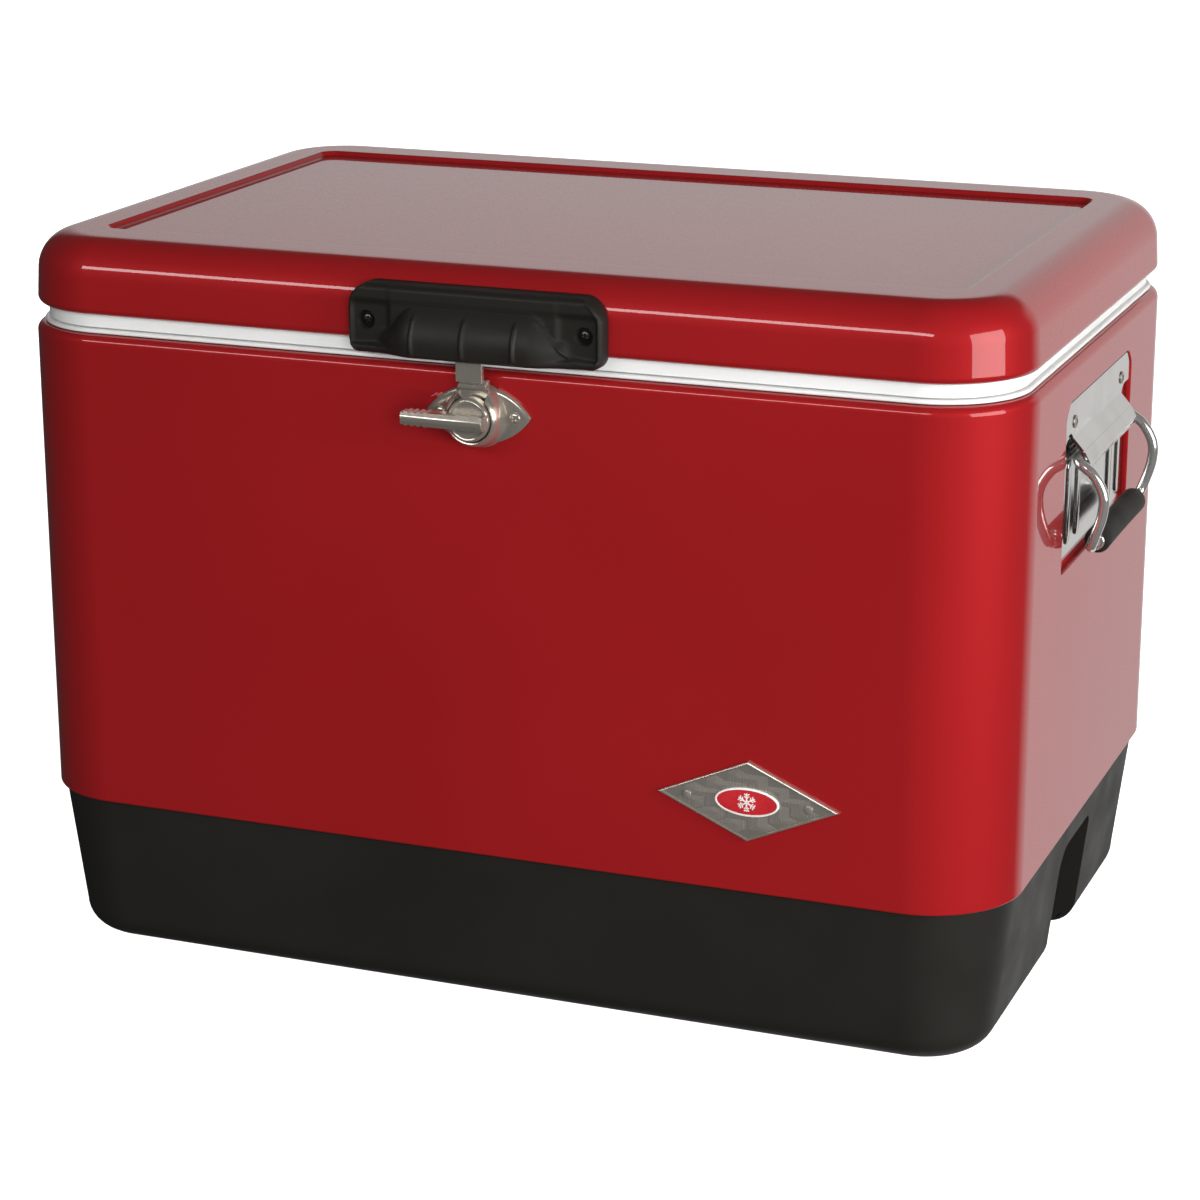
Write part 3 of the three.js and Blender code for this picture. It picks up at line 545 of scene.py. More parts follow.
BELT_ROLL = 5 * MM
HEM = 9 * MM
POCKET_LOW, POCKET_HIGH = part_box("handle_backplate_right")
POCKET_Y = POCKET_HIGH.y + 0.8 * MM
POCKET_Z = (POCKET_LOW.z - 6.3 * MM, POCKET_HIGH.z + 0.8 * MM)
POCKET_FLOOR = POCKET_LOW.x - 0.3 * MM
CHAMFER = 8 * MM


def pocket_outline(grow):
    y, low, high = POCKET_Y + grow, POCKET_Z[0] - grow, POCKET_Z[1] + grow
    return rounded([
        (-y, low, 2 * MM), (y, low, 2 * MM), (y, high - CHAMFER, 3 * MM),
        (y - CHAMFER, high, 3 * MM), (-y + CHAMFER, high, 3 * MM), (-y, high - CHAMFER, 3 * MM),
    ])


def make_belt():
    roll_z = BELT_TOP - BELT_ROLL
    profile = [(2.9 * MM, BASE_TOP)]
    profile += arc(1.2 * MM, BASE_TOP + 1.2 * MM, 1.2 * MM, 270, 180, 5)
    profile += arc(BELT_ROLL, roll_z, BELT_ROLL, 180, 90, 12)
    profile += [(HEM, BELT_TOP), (HEM, BELT_TOP - SHEET)]
    profile += arc(BELT_ROLL, roll_z, BELT_ROLL - SHEET, 90, 180, 12)
    profile += [(SHEET, BASE_TOP + 1.2 * MM), (2.9 * MM, BASE_TOP + SHEET)]
    belt = loft("belt", [chest_ring(*pair) for pair in profile], loop=True)
    for side in (-1, 1):
        tray_ends = side * (POCKET_FLOOR - SHEET), side * (HALF_X - 0.1 * MM)
        boolean(belt, prism("tray", pocket_outline(SHEET), "x", *tray_ends), "UNION")
        hollow = prism("hollow", pocket_outline(0), "x", side * POCKET_FLOOR, side * (HALF_X + 20 * MM))
        boolean(belt, hollow)

    def at_pocket(edge):
        return all(
            abs(abs(v.co.x) - HALF_X) < 1e-5 and abs(v.co.y) < POCKET_Y + MM
            and POCKET_Z[0] - MM < v.co.z < POCKET_Z[1] + MM for v in edge.verts
        )

    rim_bevel(belt, 0.9 * MM, 4, 60, at_pocket)
    dress(belt, "chest", "red_paint", replaces=["steel_belt"], weighted=True)


# ---------- tub and its rim ----------

TUB_WALL = 28 * MM
TUB_DRAFT = 3 * MM
TUB_FLOOR = 64 * MM
TUB_SKIN = 2.5 * MM


def make_tub():
    foot = TUB_WALL + TUB_DRAFT
    outside = [
        (foot + 8 * MM, TUB_FLOOR - TUB_SKIN), (foot + 0.5 * MM, TUB_FLOOR),
        (foot - TUB_SKIN, TUB_FLOOR + 10 * MM), (TUB_WALL - TUB_SKIN, BELT_TOP + 0.3 * MM),
    ]
    rim = [(6.2 * MM, BELT_TOP + 0.3 * MM)]
    middle = (BELT_TOP + 0.3 * MM + SEAM) / 2
    half = (SEAM - BELT_TOP - 0.3 * MM) / 2
    rim += arc(4.6 * MM + half, middle, half, 270, 90, 8)
    inside = arc(TUB_WALL - 2 * MM, SEAM - 2 * MM, 2 * MM, 90, 0, 5)
    inside += [(foot - 0.1 * MM, TUB_FLOOR + 14 * MM)]
    inside += arc(foot + 10 * MM, TUB_FLOOR + 10 * MM, 10 * MM, 180, 270, 8)
    tub = loft("tub", [chest_ring(*pair) for pair in outside + rim + inside])
    sump_low, sump_high = (Vector(corner) for corner in OPENINGS["drain_sump"])
    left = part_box("drain_gasket")[0].x - 0.3 * MM
    inner_low = Vector((left, sump_low.y, TUB_LOW.z + TUB_SKIN))
    inner_high = Vector((sump_high.x + 1.5 * MM, sump_high.y, TUB_FLOOR + 5 * MM))
    outer_low = inner_low - Vector((TUB_SKIN,) * 3)
    outer_high = Vector((inner_high.x + TUB_SKIN, inner_high.y + TUB_SKIN, TUB_FLOOR - MM))
    boolean(tub, block(outer_low, outer_high), "UNION")
    boolean(tub, block(inner_low, inner_high))
    boolean(tub, drain_hole(-240 * MM))
    dress(tub, "chest", "white_plastic", replaces=["tub_liner"], weighted=True)


# ---------- lid ----------

LID_INSET = HALF_X - LID_HIGH.x
LID_ROLL = 4 * MM
LID_FILLET = 22 * MM
LID_DRAFT = 0.9 * MM
PANEL = (251 * MM, 146 * MM)
PANEL_DROP = 3 * MM


def panel_ring(inset, z):
    return ring(PANEL[0] - inset, PANEL[1] - inset, 10 * MM - inset, z)


def lid_profile(radius, roll):
    """From the lid's lower roll up its side and over its edge, as (inset, height) pairs."""
    made = arc(LID_INSET + LID_ROLL, LID_BOTTOM + LID_ROLL, roll, 270, 180, 8)
    start = 180 - math.degrees(2 * LID_DRAFT / LID_FILLET)
    return made + arc(LID_INSET + LID_DRAFT + LID_FILLET, HEIGHT - LID_FILLET, radius, start, 90, 20)


def panel_step():
    """The soft step down from the lid's rim to its sunk panel."""
    radius = 1.6 * MM
    pairs = arc(0, HEIGHT - radius, radius, 90, 30, 5)
    edge = pairs[-1][0]
    fall = [(1.1, 0.9), (1.9, 0.25), (3.2, 0), (6, 0)]
    foot = [(edge + along, HEIGHT - PANEL_DROP + above) for along, above in in_mm(fall)]
    return [panel_ring(inset, z) for inset, z in pairs + foot]


def make_lid():
    inner = [chest_ring(*pair) for pair in reversed(lid_profile(LID_FILLET - SHEET, LID_ROLL - SHEET))]
    outer = [chest_ring(*pair) for pair in lid_profile(LID_FILLET, LID_ROLL)]
    flange = [chest_ring(HEM, LID_BOTTOM + SHEET), chest_ring(HEM, LID_BOTTOM)]
    border = chest_ring(LID_INSET + LID_DRAFT + LID_FILLET + 1.5 * MM, HEIGHT)
    under = [panel_ring(6 * MM, HEIGHT - PANEL_DROP - SHEET), panel_ring(-SHEET, HEIGHT - SHEET)]
    top = [border, panel_ring(-1.5 * MM, HEIGHT)] + panel_step()
    lid = loft("lid", under + inner + flange + outer + top)
    dress(lid, "lid", "red_paint", replaces=["lid_shell"], weighted=True)


def make_lid_liner():
    low, plug = LINER_LOW.z, TUB_WALL + 2.5 * MM
    under = SEAM + 0.3 * MM
    top = LINER_HIGH.z
    rings = [
        (plug + 46 * MM, low + 1.2 * MM), (plug + 43 * MM, low + 1.2 * MM), (plug + 41 * MM, low),
        (plug + 8 * MM, low),
    ]
    rings = [ring(HALF_X - i, HALF_Y - i, max(CORNER - i, 8 * MM), z) for i, z in rings]
    pairs = arc(plug + 2.2 * MM, low + 2.2 * MM, 2.2 * MM, 270, 180, 5)
    pairs += [(plug - 0.5 * MM, under - MM), (plug - 1.5 * MM, under)]
    pairs += arc(8 * MM, under + MM, MM, 270, 180, 4)
    pairs += [(7 * MM, top), (9.5 * MM, top), (9.5 * MM, under + 2.5 * MM), (plug + 2 * MM, under + 2.5 * MM)]
    pairs += [(plug + 3 * MM, low + 2.5 * MM)]
    rings += [chest_ring(*pair) for pair in pairs]
    liner = loft("lid_underside", rings)
    dress(liner, "lid", "white_plastic", replaces=["lid_liner"], weighted=True)


# ---------- lid handle ----------

HANDLE_LOW, HANDLE_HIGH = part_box("lid_handle")
HANDLE_TALL = HANDLE_HIGH.z - HANDLE_LOW.z
RIBS = (-31 * MM, -2 * MM, 27 * MM)
RIB_RISE = 1.5 * MM
SWEEP_RIGHT, SWEEP_LEFT = 1.6 * MM, 0.4 * MM  # The photo shows the ridge across the ear at the right only.
RIM_ROUND = 3 * MM


def lid_face(z):
    """The lid's front surface at a height, as its Y."""
    rise = max(z - (HEIGHT - LID_FILLET), 0)
    return LID_FRONT + LID_FILLET - math.sqrt(max(LID_FILLET ** 2 - rise ** 2, 0))


def handle_half(low):
    """Half the handle's width at a height above its lower edge, with rounded corners."""
    lower, upper = 8 * MM, 14 * MM
    half = HANDLE_HIGH.x
    if low < lower:
        return half - lower + math.sqrt(max(lower ** 2 - (lower - low) ** 2, 0))
    above = low - (HANDLE_TALL - upper)
    if above > 0:
        return half - upper + math.sqrt(max(upper ** 2 - above ** 2, 0))
    return half


def handle_rise(x, low):
    """How far the moulding stands off the lid's flat front, at a place above its lower edge."""
    side = abs(x)
    margin = handle_half(low) - side
    edge = min(margin, low, HANDLE_TALL - low)
    crest = 26.5 * MM - 21 * MM * smoothstep(33 * MM, 58 * MM, side)
    slope = smoothstep(69 * MM, 33 * MM, side)
    middle = 9 * MM
    span = max(crest - middle, 4 * MM) + 4 * MM if low > middle else 22 * MM
    crown = math.cos(math.pi / 2 * min(abs(low - middle) / span, 1))
    grip = (6 + 14.5 * crown ** 0.75) * MM * slope
    brow = 10 * MM * smoothstep(crest - 0.4 * MM, crest + 2.2 * MM, low) * smoothstep(56 * MM, 46 * MM, side)
    upper = 10.4 * MM * smoothstep(21 * MM, 31 * MM, low)
    side_rim = 9.4 * MM * smoothstep(7 * MM, 2.5 * MM, margin)
    floor_rim = (10 + 4 * slope) * MM * smoothstep(9 * MM, 4 * MM, low)
    ear = 7.6 * MM
    level = sum(part ** 9 for part in (ear, grip, brow, upper, side_rim, floor_rim)) ** (1 / 9)
    sweep = math.exp(-((low - crest) / (1.1 * MM)) ** 2) * smoothstep(34 * MM, 40 * MM, side)
    level += (SWEEP_RIGHT if x > 0 else SWEEP_LEFT) * sweep * smoothstep(64 * MM, 56 * MM, side)
    for rib in RIBS:
        ridge = smoothstep(1.7 * MM, 0.3 * MM, abs(x - rib))
        level += RIB_RISE * ridge * smoothstep(2 * MM, 5 * MM, low) * smoothstep(25 * MM, 21 * MM, low)
    corner = min(max(edge, 0) / RIM_ROUND, 1)
    return level * (0.35 + 0.65 * math.sqrt(1 - (1 - corner) ** 2))


def make_handle():
    """One moulding: brow above, ribbed grip below, and a scooped ear round each screw."""
    ends = [RIM_ROUND * (1 - math.cos(math.radians(90 * i / 6))) for i in range(7)]
    rows, columns = 54, 220
    step = (HANDLE_TALL - 2 * RIM_ROUND) / rows
    heights = ends + [RIM_ROUND + step * i for i in range(1, rows)]
    heights += [HANDLE_TALL - e for e in reversed(ends)]
    heights[0], heights[-1] = 0.02 * MM, HANDLE_TALL - 0.02 * MM
    spans = [2 * i / columns - 1 for i in range(columns + 1)]
    rings = []
    for low in heights:
        z = HANDLE_LOW.z + low
        half = handle_half(low)
        back = lid_face(z) - 0.35 * MM
        front = [Vector((u * half, min(LID_FRONT - handle_rise(u * half, low), back - MM), z)) for u in spans]
        rings.append(front + [Vector((half, back, z)), Vector((0, back, z)), Vector((-half, back, z))])
    handle = loft("lid_grip", rings)
    for name in ("lid_handle_gap_left", "lid_handle_gap_right"):
        low, high = (Vector(corner) for corner in OPENINGS[name])
        boolean(handle, block((low.x, low.y, low.z - 5 * MM), (high.x, high.y, high.z)))
    for number in (1, 2):
        low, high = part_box(f"lid_handle_screw_{number}")
        middle = (low + high) / 2
        profile = [(0, 3.6), (3.9, 3.6), (4.1, 5.0), (4.5, 6.6), (5.4, 8.0), (7.0, 10.5), (8.0, 30), (0, 30)]
        boolean(handle, turned("well", in_mm(profile), (middle.x, LID_FRONT, middle.z), (0, -1, 0), 40))
    dress(handle, "lid", "handle_black", ["lid_handle"], 42)


# ---------- screws and rivets ----------


def screw_mesh(radius, rise, cross=True):
    """A domed head with a cross recess, its flat back at the origin and its dome towards +Z."""
    angles = [math.radians(90 * i / 8) for i in range(8)]
    dome = [(radius * math.cos(t), rise * (0.25 + 0.75 * math.sin(t))) for t in angles]
    shank = [(0, -1.2 * MM), (radius * 0.5, -1.2 * MM), (radius * 0.5, 0), (radius * 0.96, 0)]
    head = turned("head", shank + dome + [(0, rise)], (0, 0, 0), (0, 0, 1), 32)
    if cross:
        arm, width = radius * 0.62, radius * 0.17
        outline = [(-arm, -width), (arm, -width), (arm, width), (-arm, width)]
        for turn in (0, 90):
            slot = prism("slot", outline, "z", rise * 0.35, rise * 2)
            slot.data.transform(Matrix.Rotation(math.radians(turn + 20), 4, "Z"))
            boolean(head, slot)
    mesh = head.data
    bpy.data.objects.remove(head)
    soften(mesh, 40)
    return mesh


def make_screws():
    kinds = {
        "handle_screw": (3.6, 1.2, True, "stamped_steel", "chest"),
        "lid_handle_screw": (3.0, 1.6, True, "black_screw", "lid"),
        "latch_screw": (3.0, 1.6, True, "nickel", "chest"),
        "badge_rivet": (2.6, 1.2, False, "stamped_steel", "chest"),
        "hinge_body_screw": (3.0, 1.6, True, "stainless", "chest"),
        "hinge_lid_screw": (3.0, 1.6, True, "stainless", "lid"),
    }
    for kind, (radius, rise, cross, material, body) in kinds.items():
        mesh = screw_mesh(radius * MM, rise * MM, cross)
        mesh.materials.append(MATERIALS[material])
        for node in sorted(n for n in NODES if n.startswith(kind)):
            low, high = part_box(node)
            middle = (low + high) / 2
            if kind == "handle_screw":
                outward = Vector((1 if middle.x > 0 else -1, 0, 0))
            else:
                outward = Vector((0, 1 if middle.y > 0 else -1, 0))
            tip = middle + outward * (high - low).dot(Vector(map(abs, outward))) / 2
            head = link(mesh, node + "_head")
            turn = Vector((0, 0, 1)).rotation_difference(outward).to_matrix().to_4x4()
            spin = Matrix.Rotation(0.7 * len(node) + middle.x * 40, 4, "Z")
            head.matrix_world = Matrix.Translation(tip - outward * rise * MM) @ turn @ spin
            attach(head, body)
            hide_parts(node)


# ---------- latch ----------

LATCH_Z = JOINTS["latch_turn"]["pos_m"][2]
LEVER_LOW, LEVER_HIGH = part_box("latch_lever")
PLATE_LOW, PLATE_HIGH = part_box("latch_escutcheon")


def lens(half_width, half_height, steps=24):
    radius = (half_width ** 2 + half_height ** 2) / (2 * half_height)
    drop = radius - half_height
    edge = math.degrees(math.atan2(drop, half_width))
    upper = arc(0, LATCH_Z - drop, radius, edge, 180 - edge, steps)
    lower = arc(0, LATCH_Z + drop, radius, 180 + edge, 360 - edge, steps)
    return upper + lower[1:-1]


def make_latch():
    """A lens-shaped plate with a slotted dome, and the ringed drum with its toothed lever."""
    half = PLATE_HIGH.x
    base_y = PLATE_HIGH.y
    steps = [(0, 0), (0, 1.3), (0.5, 2.0), (1.6, 2.5), (3.2, 2.5)]
    rings = []
    for inset, rise in steps:
        outline = lens(half - inset * 1.9 * MM, 16 * MM - inset * MM)
        rings.append([Vector((x, base_y - rise * MM, z)) for x, z in outline])
    plate = loft("latch_plate", rings)
    at = (0, FRONT, LATCH_Z)
    profile = [
        (0, 1.2), (18.0, 1.2), (17.6, 2.0), (17.0, 2.6), (16.6, 4.2), (16.3, 7.0), (15.9, 10.0), (15.1, 12.4),
        (14.2, 13.8), (13.4, 14.4), (12.9, 14.2), (12.5, 13.6), (12.5, 5.5), (0, 5.5),
    ]
    dome = turned("dome", in_mm(profile), at, (0, -1, 0), 72)
    slot_low = (-9 * MM, FRONT - 30 * MM, LATCH_Z + 9 * MM)
    slot_high = (9 * MM, FRONT - 5.5 * MM, LATCH_Z + 30 * MM)
    boolean(dome, block(slot_low, slot_high))
    boolean(plate, dome, "UNION")
    dress(plate, "chest", "nickel", replaces=["latch_escutcheon"], smooth=34, weighted=True)

    drum_profile = [
        (0, -10), (3.9, -10), (4.0, 9.9), (11.2, 9.9), (11.9, 10.6), (12.0, 11.0), (12.0, 15.6),
        (11.8, 16.3), (11.3, 16.9), (10.6, 17.2), (9.9, 17.0), (9.4, 16.5), (0, 16.4),
    ]
    drum = turned("latch_drum", in_mm(drum_profile), at, (0, -1, 0), 72)
    tip, root = LEVER_LOW.x, 11.4 * MM
    upper = []
    teeth_end = tip + 15 * MM
    for step in range(61):
        x = root + (tip + 0.8 * MM - root) * step / 60
        height = (3.9 - 0.4 * step / 60) * MM
        if x < teeth_end:
            height += 0.55 * MM * math.cos((x - tip) * 2 * math.pi / (3.6 * MM))
        upper.append((x, height))
    outline = [(x, LATCH_Z + h) for x, h in upper] + [(x, LATCH_Z - h) for x, h in reversed(upper)]
    bar = prism("bar", outline, "y", FRONT - 15.5 * MM, LEVER_LOW.y, 1.1 * MM, 4)
    for way in (1, -1):
        slant = [(0.5, 0.3), (0.5, 6), (-2.6, 6)]
        wedge = [(LEVER_LOW.y - a * MM, LATCH_Z + way * b * MM) for a, b in slant]
        boolean(bar, prism("wedge", wedge, "x", tip - 2 * MM, root + 2 * MM))
    boolean(drum, bar, "UNION")
    dress(drum, "latch", "nickel", replaces=["latch_lever"], smooth=34, weighted=True)


def make_strike():
    """A folded plate whose ledge runs to the right wall of the dome's slot, which it just touches."""
    low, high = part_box("strike_plate")
    y = low.y
    fold = 362 * MM
    tongue = y + 2.6 * MM
    upper = rounded([
        (y, high.z, 0), (y, fold, 0.8 * MM), (y + 3.2 * MM, fold, 0.6 * MM), (y + 3.2 * MM, high.z, 0),
    ], 3)
    strike = prism("strike", upper, "x", low.x, high.x - MM, 0.5 * MM, 3)
    ledge_y, ledge_z, lip_y = y + 0.6 * MM, 358.6 * MM, y + 4.6 * MM
    lower = rounded([
        (tongue, fold + MM, 0.5 * MM), (tongue, fold - 1.2 * MM, 0.3 * MM),
        (ledge_y, fold - 1.2 * MM, 0.6 * MM), (ledge_y, ledge_z, 0.6 * MM),
        (lip_y, ledge_z, 0.4 * MM), (lip_y, low.z, 0.3 * MM),
        (high.y, low.z, 0.3 * MM), (high.y, fold + MM, 0.4 * MM),
    ], 3)
    boolean(strike, prism("ledge", lower, "x", low.x + MM, high.x + MM, 0.4 * MM, 3), "UNION")
    dress(strike, "lid", "nickel", ["strike_plate"], 30, True)


# ---------- badge ----------

BADGE_LOW, BADGE_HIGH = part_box("badge_plate")
BADGE = (BADGE_LOW + BADGE_HIGH) / 2
BADGE_HALF = (BADGE_HIGH - BADGE_LOW) / 2


def diamond(shrink):
    x, z = BADGE_HALF.x * shrink, BADGE_HALF.z * shrink
    return [(BADGE.x - x, BADGE.z), (BADGE.x, BADGE.z - z), (BADGE.x + x, BADGE.z), (BADGE.x, BADGE.z + z)]


def make_badge():
    """A stamped plate: a raised rim round a field of low diamond facets on a closed grid."""
    back, front = BADGE_HIGH.y, BADGE_LOW.y
    falls = [(1.0, 0.9), (0.985, 0.2), (0.965, 0), (0.945, 0.1), (0.925, 0.9)]
    levels = [(1.0, back)] + [(shrink, front + fall * MM) for shrink, fall in falls]
    rings = [[Vector((x, y, z)) for x, z in diamond(shrink)] for shrink, y in levels]
    plate = loft("badge", rings)
    dress(plate, "chest", "nickel", ["badge_plate"], 20)

    cells = 8
    level = front + 0.95 * MM
    left, low, _, high = (Vector((x, level, z)) for x, z in diamond(0.93))
    points, faces = [], []
    for i in range(cells + 1):
        for j in range(cells + 1):
            raised = 0.55 * MM if (i + j) % 2 and 0 < i < cells and 0 < j < cells else 0
            spot = left + (low - left) * i / cells + (high - left) * j / cells
            points.append(spot - Vector((0, raised, 0)))
    wide = cells + 1
    for i in range(cells):
        for j in range(cells):
            a, b, c, d = i * wide + j, (i + 1) * wide + j, (i + 1) * wide + j + 1, i * wide + j + 1
            faces += [(a, b, c), (a, c, d)] if i % 2 else [(a, b, d), (b, c, d)]
    edge = [i * wide for i in range(cells)] + [cells * wide + j for j in range(cells)]
    edge += [i * wide + cells for i in range(cells, 0, -1)] + list(range(cells, 0, -1))
    start = len(points)
    points += [Vector((points[k].x, back, points[k].z)) for k in edge]
    for k in range(len(edge)):
        following = (k + 1) % len(edge)
        faces.append((edge[following], edge[k], start + k, start + following))
    faces.append(tuple(start + k for k in reversed(range(len(edge)))))
    field = build("badge_facets", points, faces)
    dress(field, "chest", "stamped_steel", smooth=2)


def make_medallion():
    """A plain enamelled oval with a pale rim and a six-armed ice crystal."""
    low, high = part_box("badge_medallion")
    middle, half = (low + high) / 2, (high - low) / 2
    front = low.y

    def oval(grow, y):
        wide, tall = half.x + grow, half.z + grow
        return [Vector((middle.x + wide * math.cos(t), y, middle.z + tall * math.sin(t))) for t in circle(96)]

    rim = loft("medallion_rim", [
        oval(0, high.y), oval(0, front + 0.3 * MM), oval(-0.3 * MM, front), oval(-1.0 * MM, front),
        oval(-1.2 * MM, front + 0.5 * MM),
    ])
    dress(rim, "chest", "badge_pale", ["badge_medallion"], 50)
    field = loft("medallion_field", [
        oval(-1.15 * MM, high.y - 0.2 * MM), oval(-1.15 * MM, front + 0.42 * MM),
        oval(-1.6 * MM, front + 0.3 * MM), oval(-5 * MM, front + 0.22 * MM),
    ])
    dress(field, "chest", "enamel", smooth=50)
    crystal = None
    reach, width = 5.2 * MM, 0.42 * MM
    for arm in range(6):
        shapes = [[(0, -width), (reach, -width * 0.6), (reach, width * 0.6), (0, width)]]
        for along in (2.6 * MM, 3.9 * MM):
            for side in (-1, 1):
                root = Vector((along, 0))
                out = Vector((math.cos(math.radians(58)), side * math.sin(math.radians(58)))) * 1.7 * MM
                across = Vector((-out.y, out.x)).normalized() * width * 0.7
                branch = (root - across, root + out - across, root + out + across, root + across)
                shapes.append([tuple(corner) for corner in branch])
        for shape in shapes:
            bit = prism("bit", shape, "z", 0, 0.34 * MM)
            bit.data.transform(Matrix.Rotation(math.radians(60 * arm + 30), 4, "Z"))
            crystal = bit if crystal is None else boolean(crystal, bit, "UNION")
    crystal.name = "medallion_crystal"
    upright = Matrix.Rotation(math.radians(90), 4, "X")
    crystal.data.transform(Matrix.Translation((middle.x, front + 0.28 * MM, middle.z)) @ upright)
    dress(crystal, "chest", "badge_pale", smooth=20)


# ---------- end handles ----------

BAIL_X, _, BAIL_Z = JOINTS["bail_swing_right"]["pos_m"]
GRIP_LOW, GRIP_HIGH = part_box("bail_grip_right")
GRIP = (GRIP_LOW + GRIP_HIGH) / 2
BRACKET_LOW, BRACKET_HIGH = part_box("handle_bracket_right")
HOOD_Y = 57.5 * MM
WIRE = 2.9 * MM
BAIL_ARM_Y = 62 * MM
BAIL_BEND = 7 * MM
BAIL_LEAN = Vector((0.844, 0, -0.536))
BEADS = (-60 * MM, -38 * MM, 38 * MM, 60 * MM)


def catmull(points, steps):
    """A smooth path through points, by centripetal Catmull-Rom."""
    padded = [points[0] * 2 - points[1], *points, points[-1] * 2 - points[-2]]
    path = []
    for a, b, c, d in zip(padded, padded[1:], padded[2:], padded[3:]):
        knots = [0.0]
        for p, q in ((a, b), (b, c), (c, d)):
            knots.append(knots[-1] + max((q - p).length ** 0.5, 1e-4))
        for step in range(steps):
            t = knots[1] + (knots[2] - knots[1]) * step / steps

            def mix(p, q, i, j):
                span = knots[j] - knots[i]
                return p * ((knots[j] - t) / span) + q * ((t - knots[i]) / span)

            ab, bc, cd = mix(a, b, 0, 1), mix(b, c, 1, 2), mix(c, d, 2, 3)
            path.append(mix(mix(ab, bc, 0, 2), mix(bc, cd, 1, 3), 1, 2))
    return path + [points[-1]]


def bail_path():
    """A stub under the hood, a bend into an arm bowed outwards, the bar through the grip, and back."""
    start = Vector((BAIL_X, BAIL_BEND - BAIL_ARM_Y, BAIL_Z))
    half = [Vector((BAIL_X, -34 * MM, BAIL_Z))]
    for degrees in (0, 30, 60, 90):
        angle = math.radians(degrees)
        along = Vector((0, -math.sin(angle), 0))
        half.append(start + BAIL_BEND * ((1 - math.cos(angle)) * BAIL_LEAN + along))
    arm = [(301.5, 305.5), (307.5, 295), (307.6, 284), (303.8, 271)]
    half += [Vector((x * MM, -BAIL_ARM_Y, z * MM)) for x, z in arm]
    half += [Vector((GRIP.x, 3 * MM - BAIL_ARM_Y, GRIP.z)), Vector((GRIP.x, -48 * MM, GRIP.z))]
    other = [Vector((p.x, -p.y, p.z)) for p in reversed(half)]
    return catmull([*half, Vector((GRIP.x, 0, GRIP.z)), *other], 10)


def mirrored(piece, side):
    """The left end's copy is the right end's turned half round."""
    if side == "left":
        piece.data.transform(Matrix.Rotation(math.pi, 4, "Z"))
    return piece


